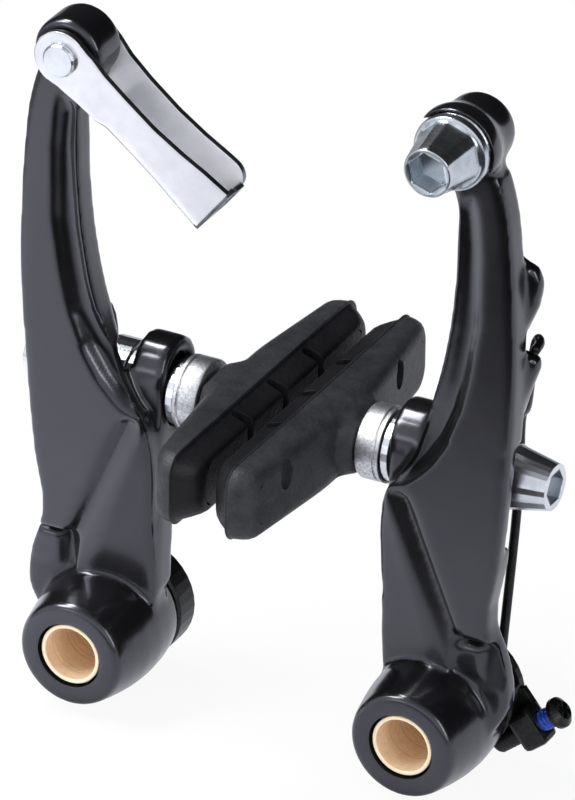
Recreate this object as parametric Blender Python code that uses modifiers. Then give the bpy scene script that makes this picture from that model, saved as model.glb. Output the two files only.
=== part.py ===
"""Linear-pull bicycle brake: two forged arms that pinch the rim, modelled in metres with +Z up.

The arms turn about two pivots that run along Y. The frame lies behind them at Y = 0, +X is the right of the
brake seen from the front, and the origin is half way between the pivots, on the plane of the frame's studs.
"""
import math

import bmesh
import bpy
from mathutils import Matrix, Vector

MM = 0.001

# Driving sizes of the whole brake
PIVOT_SPACING = 57.6 * MM
ARM_LENGTH = 100.4 * MM
HEAD_OFFSET = 3.8 * MM
BOSS_DEPTH = 18.5 * MM
CARRIER_DEPTH = 4.8 * MM
FIT = 0.3 * MM
SEAM = 0.1 * MM

# Arm forging
ARM_THICKNESS = 5.0 * MM
ARM_FRONT = 8.8 * MM
ARM_LEAN = 0.008
ARM_EDGE = 1.0 * MM
BOSS_RADIUS = 8.8 * MM
BOSS_BULGE = 1.5 * MM
HEAD_RADIUS = 5.8 * MM
LIP_RADIUS = 7.0 * MM
LIP_DEPTH = 2.6 * MM
LIP_TURN = math.radians(30)
HEAD_THICKNESS = 7.6 * MM
RIGHT_HEAD_THICKNESS = 9.0 * MM
LEFT_HEAD_FRONT = 5.5 * MM
RIGHT_HEAD_FRONT = 7.8 * MM
BAND_DEPTH = 1.0 * MM
BAND_RIM = 1.3 * MM
WEB_FRONT = 10.2 * MM
WEB_BACK = 16.1 * MM
WEB_WIDTH = 7.0 * MM
WEB_FOOT = 2.0 * MM
ARM_SIDE = 9.0 * MM
VALLEY_TILT = math.radians(28)
VALLEY_DEPTH = 1.3 * MM
POCKET_DEPTH = 3.2 * MM
FIN_THICKNESS = 2.4 * MM
LOWER_FIN_TOP = 65.0 * MM
FIN_BEHIND_FRONT = 14.2 * MM
COIL_POCKET = 1.6 * MM
POCKET_CLEARANCE = 0.5 * MM
RIB_LOW, RIB_HIGH = (1.6, 8.0), (-8.2, 38.5)
GROOVE_LOW, GROOVE_HIGH = (5.6, 13.0), (-5.4, 39.5)
SLOPE_ANGLE = math.radians(12)
STEP_INNER = 3.6 * MM
STEP_TOP = 16.0 * MM
STEP_DEPTH = 1.3 * MM

# Slot for the pad's stud
POST_HEIGHT = 40.8 * MM
POST_BEHIND_FRONT = 18.2 * MM
EYE_INNER = -9.4 * MM
EYE_THICKNESS = 5.8 * MM
EYE_WIDTH = 12.0 * MM
EYE_WALL = 2.7 * MM
SLOT_TRAVEL = 5.4 * MM

# Bushing, carrier and spring
BUSHING_RADIUS = 4.7 * MM
STUD_RADIUS = 4.0 * MM
BUSHING_RECESS = 1.0 * MM
CARRIER_RADIUS = 9.5 * MM
CARRIER_WALL = 1.3 * MM
WIRE = 1.5 * MM
COIL_RADIUS = 6.9 * MM
COIL_TURNS = 1.25
SCREW_RADIUS = 1.5 * MM
SCREW_HEAD_RADIUS = 2.5 * MM
SCREW_LENGTH = 13.0 * MM
SCREW_TILT = math.radians(39)
SCREW_HEAD = 1.8 * MM
LUG_OUT = 11.9 * MM
LUG_DROP = 3.7 * MM
LUG_LONG = 4.6 * MM
LUG_HIGH = 6.4 * MM
LUG_THICK = 4.5 * MM
TAB_THICK = 1.2 * MM
LEFT_SCREW_OUT = 1.2 * MM
RIGHT_SCREW_OUT = 3.2 * MM

# Pad, stud and washers
STUD_THREAD_RADIUS = 3.0 * MM
PAD_GAP = 2.2 * MM
PAD_LENGTH = 61.6 * MM
PAD_HEIGHT = 12.4 * MM
PAD_BLOCK = 3.6 * MM
PAD_BACK = 6.4 * MM
PAD_COLLAR = 2.3 * MM
PAD_COLLAR_RADIUS = 6.3 * MM
RIM_RADIUS = 220.0 * MM
WASHER_RADIUS = 6.0 * MM
SPHERE_RADIUS = 7.0 * MM
THIN_CUP = 4.4 * MM
STUD_ROOT = 5.0 * MM
PAD_ROUND = 2.6 * MM
PAD_FLAT = 9.0 * MM
PAD_TAPER = math.radians(8)
GROOVES = 3
GROOVE_PITCH = 13.0 * MM
WATER_GROOVE = 2.0 * MM
WATER_GROOVE_DEPTH = 2.2 * MM
NUT_BORE = 8.0 * MM
SOCKET_DEPTH = 3.2 * MM
NUT_LENGTH = 13.4 * MM
NUT_RADIUS = 5.2 * MM
NUT_TIP_RADIUS = 3.7 * MM
SOCKET_FLATS = 5.0 * MM

# Cable guide and anchor bolt
SHEET = 1.1 * MM
GUIDE_REACH = 32.3 * MM
GUIDE_SLOPE = math.radians(-38.5)
GUIDE_END_RADIUS = 4.6 * MM
GUIDE_WAIST = 3.1 * MM
GUIDE_END_DROP = 3.9 * MM
GUIDE_END_RISE = 5.3 * MM
GUIDE_SEAT_RADIUS = 9.5 * MM
RIVET_RADIUS = 2.0 * MM
RIVET_HEAD_RADIUS = 2.7 * MM
RIVET_HEAD = 0.9 * MM
BOLT_RADIUS = 3.0 * MM
FLANGE_RADIUS = 5.9 * MM
FLANGE_THICKNESS = 1.5 * MM
CONE_LENGTH = 7.2 * MM
CONE_RADIUS = 5.2 * MM
TIP_RADIUS = 3.7 * MM
ANCHOR_WASHER = 1.2 * MM
KEYHOLE_RISE = 0.6 * MM
KEYHOLE_RADIUS = 2.3 * MM
KEYWAY = 2.6 * MM

# Places worked out from the sizes
PIVOT = PIVOT_SPACING / 2
FRONT = -(BOSS_DEPTH + CARRIER_DEPTH + FIT)
POST_Y = FRONT + POST_BEHIND_FRONT
EYE_OUTER = EYE_INNER + EYE_THICKNESS
PLATE_MID = (EYE_INNER + EYE_OUTER) / 2
CUP_SEAT_RADIUS = math.sqrt((SPHERE_RADIUS + FIT) ** 2 - (WASHER_RADIUS - FIT) ** 2)
LUG_Y = -(LUG_THICK / 2 + 0.2 * MM)
PAD_FACE = -(PIVOT - PAD_GAP / 2)
COLLAR_FACE = PAD_FACE + PAD_BLOCK + PAD_BACK + PAD_COLLAR
PAD_CENTRE_Y = POST_Y

brake = bpy.data.collections.new("v_brake")
cutters = bpy.data.collections.new("cutters")


def material(name, colour, roughness, metallic):
    """A Principled material, made once and shared by the pieces of one finish."""
    made = bpy.data.materials.get(name)
    if made is None:
        made = bpy.data.materials.new(name)
        made.use_nodes = True
        shader = made.node_tree.nodes["Principled BSDF"]
        shader.inputs["Base Color"].default_value = (*colour, 1)
        shader.inputs["Roughness"].default_value = roughness
        shader.inputs["Metallic"].default_value = metallic
    return made


def black_paint():
    return material("black_paint", (0.03, 0.03, 0.032), 0.32, 0.0)


def zinc():
    return material("zinc", (0.72, 0.73, 0.75), 0.25, 1.0)


def bronze():
    return material("bronze", (0.72, 0.47, 0.26), 0.3, 1.0)


def rubber():
    return material("rubber", (0.03, 0.03, 0.032), 0.7, 0.0)


def black_steel():
    return material("black_steel", (0.02, 0.02, 0.02), 0.35, 0.6)


def add(name, mesh, collection, place=Matrix.Identity(4)):
    """A new object holding the mesh, put at a place."""
    piece = bpy.data.objects.new(name, mesh)
    collection.objects.link(piece)
    piece.matrix_world = place
    if collection is cutters:
        piece.hide_render = True
        piece.display_type = "WIRE"
    return piece


def plate(name, points, thickness, place, smooth=False, collection=cutters):
    """A flat outline in the local XY plane, thickened both ways along local Z and turned into a mesh."""
    curve = bpy.data.curves.new(name + "_outline", "CURVE")
    curve.dimensions = "2D"
    curve.fill_mode = "BOTH"
    curve.extrude = thickness / 2
    curve.resolution_u = 3
    if smooth:
        spline = curve.splines.new("BEZIER")
        spline.bezier_points.add(len(points) - 1)
        for knot, (x, y) in zip(spline.bezier_points, points):
            knot.co = (x, y, 0)
            knot.handle_left_type = knot.handle_right_type = "AUTO"
    else:
        spline = curve.splines.new("POLY")
        spline.points.add(len(points) - 1)
        for knot, (x, y) in zip(spline.points, points):
            knot.co = (x, y, 0, 1)
    spline.use_cyclic_u = True
    return meshed(name, curve, place, collection)


def meshed(name, curve, place, collection):
    """A curve's evaluated shape as a closed mesh object in the same place."""
    drawn = bpy.data.objects.new(name + "_curve", curve)
    bpy.context.scene.collection.objects.link(drawn)
    bpy.context.view_layer.update()
    depsgraph = bpy.context.evaluated_depsgraph_get()
    mesh = bpy.data.meshes.new_from_object(drawn.evaluated_get(depsgraph))
    welded = bmesh.new()
    welded.from_mesh(mesh)
    bmesh.ops.remove_doubles(welded, verts=welded.verts, dist=0.00001)
    bmesh.ops.recalc_face_normals(welded, faces=welded.faces)
    welded.to_mesh(mesh)
    welded.free()
    bpy.data.objects.remove(drawn)
    return add(name, mesh, collection, place)


def turned(name, profile, place, steps=40, collection=cutters):
    """A profile of (radius, height) from top to bottom, turned about local Z; a bore closes the loop."""
    mesh = bpy.data.meshes.new(name)
    points = [(radius, 0, height) for radius, height in profile]
    edges = [(i, i + 1) for i in range(len(points) - 1)]
    if profile[0][0] > 0:
        edges.append((len(points) - 1, 0))
    mesh.from_pydata(points, edges, [])
    piece = add(name, mesh, collection, place)
    screw = piece.modifiers.new("Turn", "SCREW")
    screw.steps = screw.render_steps = steps
    screw.use_merge_vertices = True
    screw.merge_threshold = 0.00001
    screw.use_smooth_shade = True
    return piece


def cylinder(name, radius, length, place, segments=32):
    """A plain round cutter centred on its place, along local Z."""
    return prism(name, radius, radius, length, place, segments)


def prism(name, low_radius, high_radius, length, place, segments):
    mesh = bpy.data.meshes.new(name)
    form = bmesh.new()
    bmesh.ops.create_cone(form, cap_ends=True, segments=segments, radius1=low_radius,
                          radius2=high_radius, depth=length)
    form.to_mesh(mesh)
    form.free()
    return add(name, mesh, cutters, place)


def block(name, size, place):
    """A box cutter of the given size about its place."""
    mesh = bpy.data.meshes.new(name)
    form = bmesh.new()
    bmesh.ops.create_cube(form, size=1)
    bmesh.ops.scale(form, vec=size, verts=form.verts)
    form.to_mesh(mesh)
    form.free()
    return add(name, mesh, cutters, place)


def combine(piece, tool, operation):
    boolean = piece.modifiers.new(tool.name, "BOOLEAN")
    boolean.operation = operation
    boolean.object = tool
    boolean.solver = "EXACT"


def cut(piece, *tools):
    for tool in tools:
        combine(piece, tool, "DIFFERENCE")


def fuse(piece, *tools):
    for tool in tools:
        combine(piece, tool, "UNION")


def rounded(piece, width, segments=2, angle=40):
    """A bevel of even width on the piece's sharp edges."""
    bevel = piece.modifiers.new("Edges", "BEVEL")
    bevel.width = width
    bevel.segments = segments
    bevel.limit_method = "ANGLE"
    bevel.angle_limit = math.radians(angle)


def finish(piece, paint, smooth_angle=35):
    """Puts a piece in the brake's collection with its material and smooth shading on round faces."""
    piece.data.materials.append(paint)
    piece.data.shade_smooth()
    piece.data.set_sharp_from_angle(angle=math.radians(smooth_angle))
    return piece


def along_y(x, y, z):
    """A place whose local Z points to the front, along -Y, and whose local X stays X."""
    return Matrix.Translation((x, y, z)) @ Matrix.Rotation(math.radians(90), 4, "X")


def along_x(x, y, z, side):
    """A place whose local Z points away from the wheel on the given side."""
    return Matrix.Translation((x, y, z)) @ Matrix.Rotation(side * math.radians(90), 4, "Y")


def level(share):
    """Height of a share of the arm: 0 at the pivot, 1 at the pad's stud and 2 at the cable's head."""
    if share <= 1:
        return POST_HEIGHT * share
    return POST_HEIGHT + (ARM_LENGTH - POST_HEIGHT) * (share - 1)


def arm_points(side, stations):
    """Points on one side's arm from (distance outwards in mm, share of the height) pairs."""
    return [(side * outward * MM, level(share)) for outward, share in stations]


def arm_outline(side):
    """The forging seen from the front: outer edge upwards, then the inner edge downwards."""
    sides = ARM_SIDE / MM
    outer = [(12.3, 0.08), (12.7, 0.22), (11.5, 0.34), (9.8, 0.45), (11.2, 0.71), (12.7, 1.08),
             (13.5, 1.34), (13.3, 1.52), (12.6, 1.71), (11.3, 1.86)]
    inner = [(2.8, 1.86), (3.3, 1.71), (3.0, 1.57), (1.6, 1.39), (-0.4, 1.25), (-3.8, 1.07),
             (-7.6, 0.96), (-sides, 0.84), (-sides, 0.5), (-sides, 0.15), (-7.0, -0.05), (2.0, -0.14)]
    top = [(HEAD_OFFSET + HEAD_RADIUS * 0.9, ARM_LENGTH - HEAD_RADIUS * 0.5), (HEAD_OFFSET, ARM_LENGTH),
           (HEAD_OFFSET - HEAD_RADIUS * 0.7, ARM_LENGTH - HEAD_RADIUS * 0.8)]
    crown = [(side * outward, height) for outward, height in top]
    return arm_points(side, outer) + crown + arm_points(side, inner)


def leaned(piece):
    """Shears a forging forwards as it rises, so that the arm stands off the tyre."""
    for vertex in piece.data.vertices:
        vertex.co.z += ARM_LEAN * vertex.co.y
    return piece


def arm(name, side, head_front, head_depth, seat_radius):
    """One forged arm with its boss, head, slot eye, recessed band, valley and spring fins."""
    middle = FRONT + ARM_FRONT + ARM_THICKNESS / 2
    forging = plate(name, arm_outline(side), ARM_THICKNESS, along_y(side * PIVOT, middle, 0), smooth=True,
                    collection=brake)
    leaned(forging)
    rounded(forging, ARM_EDGE)
    fuse(forging, web(name, side))
    cut(forging, band(name, side), pocket(name, side), inner_slope(name, side), valley(name, side),
        step(name, side), *washer_pockets(name, side), *head_seats(name, side, head_front, head_depth, seat_radius))
    fuse(forging, boss(name, side), head(name, side, head_front, head_depth), eye(name, side), *fins(name, side))
    cut(forging, slot(name, side), coil_pocket(name, side))
    cut(forging, cylinder(name + "_bore", BUSHING_RADIUS + FIT, 3 * BOSS_DEPTH, along_y(side * PIVOT, FRONT, 0)))
    return finish(forging, black_paint())


def web(name, side):
    """The thicker lower part of the forging on the wheel's side, between the boss and the eye."""
    sides = ARM_SIDE / MM - 0.1
    points = arm_points(side, [(-sides, 0.9), (-sides, 0.1), (0.0, 0.1), (-1.0, 0.5), (-6.0, 0.9)])
    depth = WEB_BACK - WEB_FRONT
    block_of_web = plate(name + "_web", points, depth, along_y(side * PIVOT, FRONT + WEB_FRONT + depth / 2, 0))
    rounded(block_of_web, ARM_EDGE)
    return block_of_web


def boss(name, side):
    """The barrel round the pivot, wider at its waist."""
    edge, rings = 0.8 * MM, 5
    profile = [(BUSHING_RADIUS / 2, 0), (BOSS_RADIUS - edge, 0), (BOSS_RADIUS - edge * 0.3, -edge * 0.3)]
    for ring in range(rings + 1):
        share = ring / rings
        bulge = BOSS_BULGE * math.sin(math.radians(150) * share)
        profile.append((BOSS_RADIUS + bulge, -edge - (BOSS_DEPTH - 1.5 * edge) * share))
    back = profile[-1][0] - edge / 2
    profile += [(back, -BOSS_DEPTH), (BUSHING_RADIUS / 2, -BOSS_DEPTH)]
    return turned(name + "_boss", profile, along_y(side * PIVOT, FRONT, 0), 40)


def disc(name, radius, thickness, edge, place, steps=32):
    """A solid turned disc with eased rims, its top face at the place and its body below."""
    profile = [(0, 0), (radius - edge, 0), (radius, -edge), (radius, edge - thickness),
               (radius - edge, -thickness), (0, -thickness)]
    return turned(name, profile, place, steps)


def head(name, side, front, depth):
    """The round end that carries the cable."""
    place = along_y(side * (PIVOT + HEAD_OFFSET), FRONT + front, ARM_LENGTH)
    return disc(name + "_head", HEAD_RADIUS, depth, 0.6 * MM, place)


def head_seats(name, side, head_front, depth, radius):
    """Round flats sunk in the front and the back of the arm's top, down to the head's thickness."""
    x, deep = side * (PIVOT + HEAD_OFFSET), 20 * MM
    front = along_y(x, FRONT + head_front + SEAM - deep / 2, ARM_LENGTH)
    back = along_y(x, FRONT + head_front + depth - SEAM + deep / 2, ARM_LENGTH)
    return [cylinder(name + "_front_seat", radius, deep, front, 36),
            cylinder(name + "_back_seat", radius, deep, back, 36)]


def eye(name, side):
    """The upright loop that the pad's stud passes through: a rounded plate square to X, on a long root."""
    place = Matrix.Translation((side * (PIVOT + PLATE_MID), POST_Y, POST_HEIGHT)) @ turn_to_yz()
    radius = EYE_WIDTH / 2
    top = SLOT_TRAVEL / 2 + STUD_THREAD_RADIUS + FIT + EYE_WALL - radius
    root = -radius + WEB_WIDTH
    low = WEB_FOOT * 4 - POST_HEIGHT
    points = half_circle(radius, top, 0)
    points += [(-radius, low), (root - EYE_WALL, low), (root - EYE_WALL * 0.8, low * 0.6),
               (root, -top - radius - EYE_WALL), (radius * 0.5, -top - radius * 0.95),
               (radius * 0.9, -top - radius * 0.5)]
    return plate(name + "_eye", points, EYE_THICKNESS, place)


def half_circle(radius, centre, start):
    """Points round half a circle about (0, centre), from a starting angle in degrees."""
    angles = [math.radians(start + 180 * step_number / 8) for step_number in range(9)]
    return [(radius * math.cos(angle), centre + radius * math.sin(angle)) for angle in angles]


def turn_to_yz():
    """Turns a flat outline so that its X runs along Y and its Y runs up."""
    return Matrix(((0, 0, 1, 0), (1, 0, 0, 0), (0, 1, 0, 0), (0, 0, 0, 1)))


def slot(name, side):
    """The upright slot through the eye."""
    place = Matrix.Translation((side * (PIVOT + PLATE_MID), POST_Y, POST_HEIGHT)) @ turn_to_yz()
    radius = STUD_THREAD_RADIUS + FIT
    points = half_circle(radius, SLOT_TRAVEL / 2, 0) + half_circle(radius, -SLOT_TRAVEL / 2, 180)
    return plate(name + "_slot", points, EYE_THICKNESS + 4 * MM, place)


def washer_pockets(name, side):
    """The space on both faces of the eye where the washers and the nut slide up and down."""
    reach = 40 * MM
    tall = SLOT_TRAVEL + 2 * WASHER_RADIUS + 2 * POCKET_CLEARANCE
    deep_from = POST_Y - WASHER_RADIUS - POCKET_CLEARANCE
    pockets = []
    for face, toward, end in ((EYE_OUTER, 1, "outer"), (EYE_INNER, -1, "inner")):
        centre = (side * (PIVOT + face + toward * reach / 2), deep_from + reach / 2, POST_HEIGHT)
        pocket = block(f"{name}_{end}_pocket", (reach, reach, tall), Matrix.Translation(centre))
        pockets.append(pocket)
    return pockets


def band(name, side):
    """The shallow sunk band along the upper arm's inner edge, inside its rim."""
    edge = [(6.0, 1.87), (7.0, 1.78), (7.3, 1.66), (7.3, 1.5), (5.9, 1.34), (4.4, 1.23)]
    rim = [(3.1, 1.72), (2.8, 1.57), (1.4, 1.39), (-0.6, 1.25)]
    inner = [(outward + BAND_RIM / MM, share) for outward, share in rim]
    outline = arm_points(side, edge + list(reversed([(3.7, 1.83)] + inner)))
    middle = FRONT + ARM_FRONT - ARM_LEAN * level(1.5) - BAND_DEPTH / 2
    sunk = plate(name + "_band", outline, 3 * BAND_DEPTH, along_y(side * PIVOT, middle, 0))
    return leaned(sunk)


def pocket(name, side):
    """The deep pocket above the eye, where the band runs out and the stud's outer washers lie."""
    outline = arm_points(side, [(4.6, 1.25), (2.0, 1.14), (0.0, 1.07), (-2.4, 1.03), (-4.0, 1.0), (-5.4, 0.975),
                                (-11.0, 0.975), (-11.0, 1.07), (-4.4, 1.085), (-1.5, 1.16), (0.3, 1.25)])
    deep = 2 * POCKET_DEPTH
    return plate(name + "_pocket", outline, deep, along_y(side * PIVOT, FRONT + ARM_FRONT, 0))


def along_line(side, low, high, tilt, y):
    """A place on a line drawn across the arm's front: X across it, Y up along it, Z out of the face."""
    low = Vector((side * (PIVOT + low[0] * MM), y, low[1] * MM))
    high = Vector((side * (PIVOT + high[0] * MM), y, high[1] * MM))
    up = (high - low).normalized()
    across = up.cross(Vector((0, -1, 0))).normalized()
    turn = Matrix((across, up, across.cross(up))).transposed().to_4x4()
    return Matrix.Translation((low + high) / 2) @ turn @ Matrix.Rotation(tilt, 4, "Y")


def inner_slope(name, side):
    """The lower arm's face on the wheel side falls away from the diagonal rib."""
    place = along_line(side, RIB_LOW, RIB_HIGH, -side * SLOPE_ANGLE, FRONT + ARM_FRONT)
    size = 30 * MM
    return block(name + "_slope", (size, 2 * size, size / 2),
                 place @ Matrix.Translation((-side * size / 2, 0, size / 4)))


def valley(name, side):
    """The valley between the diagonal rib and the main face: a gentle slope and a steep one."""
    place = along_line(side, GROOVE_LOW, GROOVE_HIGH, side * VALLEY_TILT, FRONT + ARM_FRONT + VALLEY_DEPTH)
    length = math.dist(GROOVE_LOW, GROOVE_HIGH) * MM
    size = 6 * MM
    return block(name + "_valley", (size, length, size), place @ Matrix.Translation((-side * size / 2, 0, size / 2)))


def step(name, side):
    """The shoulder beside the boss, set back from the main face."""
    reach = 30 * MM
    centre = (side * (PIVOT + STEP_INNER + reach / 2), FRONT + ARM_FRONT + STEP_DEPTH - reach / 2,
              STEP_TOP - reach / 2)
    return block(name + "_step", (reach, reach, reach), Matrix.Translation(centre))


def fins(name, side):
    """Two flat fins on the outer back edge; the spring's leg lies in the notch between them."""
    top = LOWER_FIN_TOP / MM
    upper = [(8.6, 17.6), (12.4, 15.2), (14.3, 14.6), (15.3, 12.0), (14.6, 8.0), (12.6, 3.2), (8.6, 2.4)]
    lower = [(8.6, 0.0), (13.0, 0.0), (14.9, -0.5), (15.2, -2.0), (14.0, -5.4), (12.4, -11.0), (8.6, -16.0)]
    made = []
    for label, points in (("upper", upper), ("lower", lower)):
        outline = [(side * x * MM, (top + rise) * MM) for x, rise in points]
        place = along_y(side * PIVOT, FRONT + FIN_BEHIND_FRONT, 0)
        made.append(plate(f"{name}_{label}_fin", outline, FIN_THICKNESS, place))
    return made


def coil_pocket(name, side):
    """A ring sunk in the back of the boss for the front turns of the spring."""
    outer = COIL_RADIUS + WIRE / 2 + 0.6 * MM
    inner = COIL_RADIUS - WIRE / 2 - 0.6 * MM
    profile = [(inner, COIL_POCKET), (outer, COIL_POCKET), (outer, -COIL_POCKET), (inner, -COIL_POCKET)]
    return turned(name + "_coil_pocket", profile, along_y(side * PIVOT, FRONT + BOSS_DEPTH, 0), 40)


def cable_lip(name, side):
    """The arched lip that guards the anchor bolt, open below."""
    place = along_y(side * (PIVOT + HEAD_OFFSET), FRONT + RIGHT_HEAD_FRONT - LIP_DEPTH, ARM_LENGTH)
    inner = FLANGE_RADIUS + 0.4 * MM
    depth = LIP_DEPTH + 2 * MM
    web = HEAD_RADIUS - 1.2 * MM
    floor = LIP_DEPTH + SEAM
    profile = [(inner, 0), (LIP_RADIUS, 0), (LIP_RADIUS, -depth), (web, -depth), (web, -floor), (inner, -floor)]
    lip = turned(name + "_lip", profile, place, 32)
    below = (Matrix.Translation((side * (PIVOT + HEAD_OFFSET), FRONT, ARM_LENGTH)) @
             Matrix.Rotation(side * LIP_TURN, 4, "Y") @ Matrix.Translation((0, 0, -10 * MM)))
    cut(lip, block(name + "_lip_opening", (20 * MM, 40 * MM, 20 * MM), below))
    return lip


def bushing(name, side):
    """The bronze sleeve on the frame's stud, chamfered at its front."""
    length = -FRONT - BUSHING_RECESS
    chamfer = 0.35 * MM
    profile = [(STUD_RADIUS + chamfer, 0), (BUSHING_RADIUS - chamfer, 0), (BUSHING_RADIUS, -chamfer),
               (BUSHING_RADIUS, -length), (STUD_RADIUS, -length), (STUD_RADIUS, -chamfer)]
    place = along_y(side * PIVOT, FRONT + BUSHING_RECESS, 0)
    return finish(turned(name, profile, place, 32, brake), bronze())


def screw_place(side):
    """The adjusting screw's axis: it lies across the outer side of the carrier and points up and out."""
    tilt = Matrix.Rotation(side * (math.radians(90) - SCREW_TILT), 4, "Y")
    return Matrix.Translation((side * (PIVOT + LUG_OUT), LUG_Y, -LUG_DROP)) @ tilt


def carrier(name, side):
    """The cup behind the boss that holds the coil, with the threaded lug of the adjusting screw."""
    place = along_y(side * PIVOT, -CARRIER_DEPTH, 0)
    bore = BUSHING_RADIUS + FIT
    inner = CARRIER_RADIUS - CARRIER_WALL
    profile = [(bore, CARRIER_WALL - CARRIER_DEPTH), (inner, CARRIER_WALL - CARRIER_DEPTH), (inner, 0),
               (CARRIER_RADIUS - 0.4 * MM, 0), (CARRIER_RADIUS, -0.4 * MM), (CARRIER_RADIUS, -CARRIER_DEPTH),
               (bore, -CARRIER_DEPTH)]
    cup = turned(name, profile, place, 36, brake)
    lug = block(name + "_lug", (LUG_HIGH, LUG_THICK, LUG_LONG), screw_place(side))
    rounded(lug, 0.9 * MM)
    tab_shift = Matrix.Translation((-side * LUG_HIGH * 0.4, (LUG_THICK - TAB_THICK) / 2, 0))
    tab = block(name + "_tab", (LUG_HIGH, TAB_THICK, LUG_LONG * 0.8), screw_place(side) @ tab_shift)
    fuse(cup, lug, tab)
    notch = block(name + "_notch", (8 * MM, CARRIER_DEPTH, 12 * MM),
                  Matrix.Translation((side * (PIVOT + 9.4 * MM), -CARRIER_WALL - CARRIER_DEPTH / 2, 8.5 * MM)))
    thread = cylinder(name + "_thread", SCREW_RADIUS + FIT, 34 * MM, screw_place(side), 20)
    cut(cup, notch, thread)
    return finish(cup, black_steel())


def cross_recess(name, place, width, depth):
    """Two crossed slots for the driver."""
    return [block(f"{name}_slot_{turn}", (width * 0.3, width, 2 * depth),
                  place @ Matrix.Rotation(math.radians(45 + turn), 4, "Z")) for turn in (0, 90)]


def adjusting_screw(name, side, out):
    """The pan-head screw that sets the spring's pull; out is how far its head stands off the lug."""
    place = screw_place(side) @ Matrix.Translation((0, 0, LUG_LONG / 2 + out))
    profile = [(0, SCREW_HEAD), (SCREW_HEAD_RADIUS * 0.6, SCREW_HEAD * 0.9),
               (SCREW_HEAD_RADIUS, SCREW_HEAD * 0.4), (SCREW_HEAD_RADIUS, 0), (SCREW_RADIUS, 0),
               (SCREW_RADIUS, 0.4 * MM - SCREW_LENGTH), (SCREW_RADIUS - 0.4 * MM, -SCREW_LENGTH),
               (0, -SCREW_LENGTH)]
    screw = turned(name, profile, place, 24, brake)
    cut(screw, *cross_recess(name, place @ Matrix.Translation((0, 0, SCREW_HEAD)), 2.8 * MM, 0.8 * MM))
    return finish(screw, black_steel())


def return_spring(name, side):
    """Wire wound round the bushing, then led up behind the stud's nut and hooked over the lower fin."""
    points = []
    turns = round(COIL_TURNS * 20)
    rear = -CARRIER_WALL - FIT - WIRE / 2
    for number in range(turns + 1):
        angle = 2 * math.pi * (number - turns) / 20
        y = rear - 1.08 * WIRE * number / 20
        points.append((side * (PIVOT + COIL_RADIUS * math.cos(angle)), y, COIL_RADIUS * math.sin(angle)))
    fin_top = LOWER_FIN_TOP + WIRE / 2 + FIT
    behind = POST_Y + WASHER_RADIUS + WIRE / 2 + 2 * FIT
    fin_front = FRONT + FIN_BEHIND_FRONT - FIN_THICKNESS / 3
    low, high = POST_HEIGHT - SLOT_TRAVEL - WASHER_RADIUS, POST_HEIGHT + SLOT_TRAVEL
    leg = [(7.2 * MM, -4.1 * MM, 4.5 * MM), (7.0 * MM, -3.4 * MM, 9.0 * MM), (6.4 * MM, behind, low),
           (6.6 * MM, behind, high), (9.0 * MM, -1.0 * MM, high + 5.0 * MM), (12.0 * MM, -5.4 * MM, fin_top - 3 * MM),
           (13.2 * MM, -6.6 * MM, fin_top), (14.1 * MM, -7.8 * MM, fin_top), (14.5 * MM, fin_front, fin_top)]
    points += [(side * (PIVOT + outward), y, height) for outward, y, height in leg]
    curve = bpy.data.curves.new(name + "_line", "CURVE")
    curve.dimensions = "3D"
    curve.bevel_depth = WIRE / 2
    curve.bevel_resolution = 2
    curve.use_fill_caps = True
    spline = curve.splines.new("POLY")
    spline.points.add(len(points) - 1)
    for knot, point in zip(spline.points, points):
        knot.co = (*point, 1)
    return finish(meshed(name, curve, Matrix.Identity(4), brake), black_steel())


def hexagon(name, flats, length, place):
    """A six-sided cutter, given across its flats."""
    return prism(name, flats / math.sqrt(3), flats / math.sqrt(3), length, place, 6)


def pad_outline(length, height):
    """A pad's side: two arcs round the wheel's axle with the corners taken off."""
    half = length / 2
    corner = height * 0.3
    lower_radius = RIM_RADIUS - height / 2
    upper_radius = RIM_RADIUS + height / 2
    count = 7
    upper = [(-half + corner) + (length - 2 * corner) * number / count for number in range(count + 1)]
    lower = [(half - corner) - (length - 2 * corner) * number / count for number in range(count + 1)]
    points = [(y, math.sqrt(upper_radius ** 2 - y ** 2) - RIM_RADIUS) for y in upper]
    drop = RIM_RADIUS - math.sqrt(RIM_RADIUS ** 2 - half ** 2)
    points += [(half, height / 2 - corner - drop), (half, corner - height / 2 - drop)]
    points += [(y, math.sqrt(lower_radius ** 2 - y ** 2) - RIM_RADIUS) for y in lower]
    points += [(-half, corner - height / 2 - drop), (-half, height / 2 - corner - drop)]
    return points


def pad_tapers(name, side, back_to):
    """What comes off the pad's back: all in front of the friction block, and a slant towards each end."""
    reach = 2 * PAD_LENGTH
    flush = block(name + "_flush", (PAD_BLOCK * 2 - 2 * SEAM, reach, reach),
                  Matrix.Translation((side * (PIVOT + PAD_FACE), PAD_CENTRE_Y, POST_HEIGHT)))
    tapers = [flush]
    for end in (-1, 1):
        centre = (side * (PIVOT + back_to), PAD_CENTRE_Y + end * PAD_FLAT, POST_HEIGHT)
        slant = Matrix.Translation(centre) @ Matrix.Rotation(side * end * PAD_TAPER, 4, "Z")
        shift = Matrix.Translation((side * PAD_LENGTH / 2, end * PAD_LENGTH / 2, 0))
        tapers.append(block(f"{name}_taper_{end + 1}", (PAD_LENGTH, PAD_LENGTH, PAD_LENGTH), slant @ shift))
    return tapers


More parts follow.
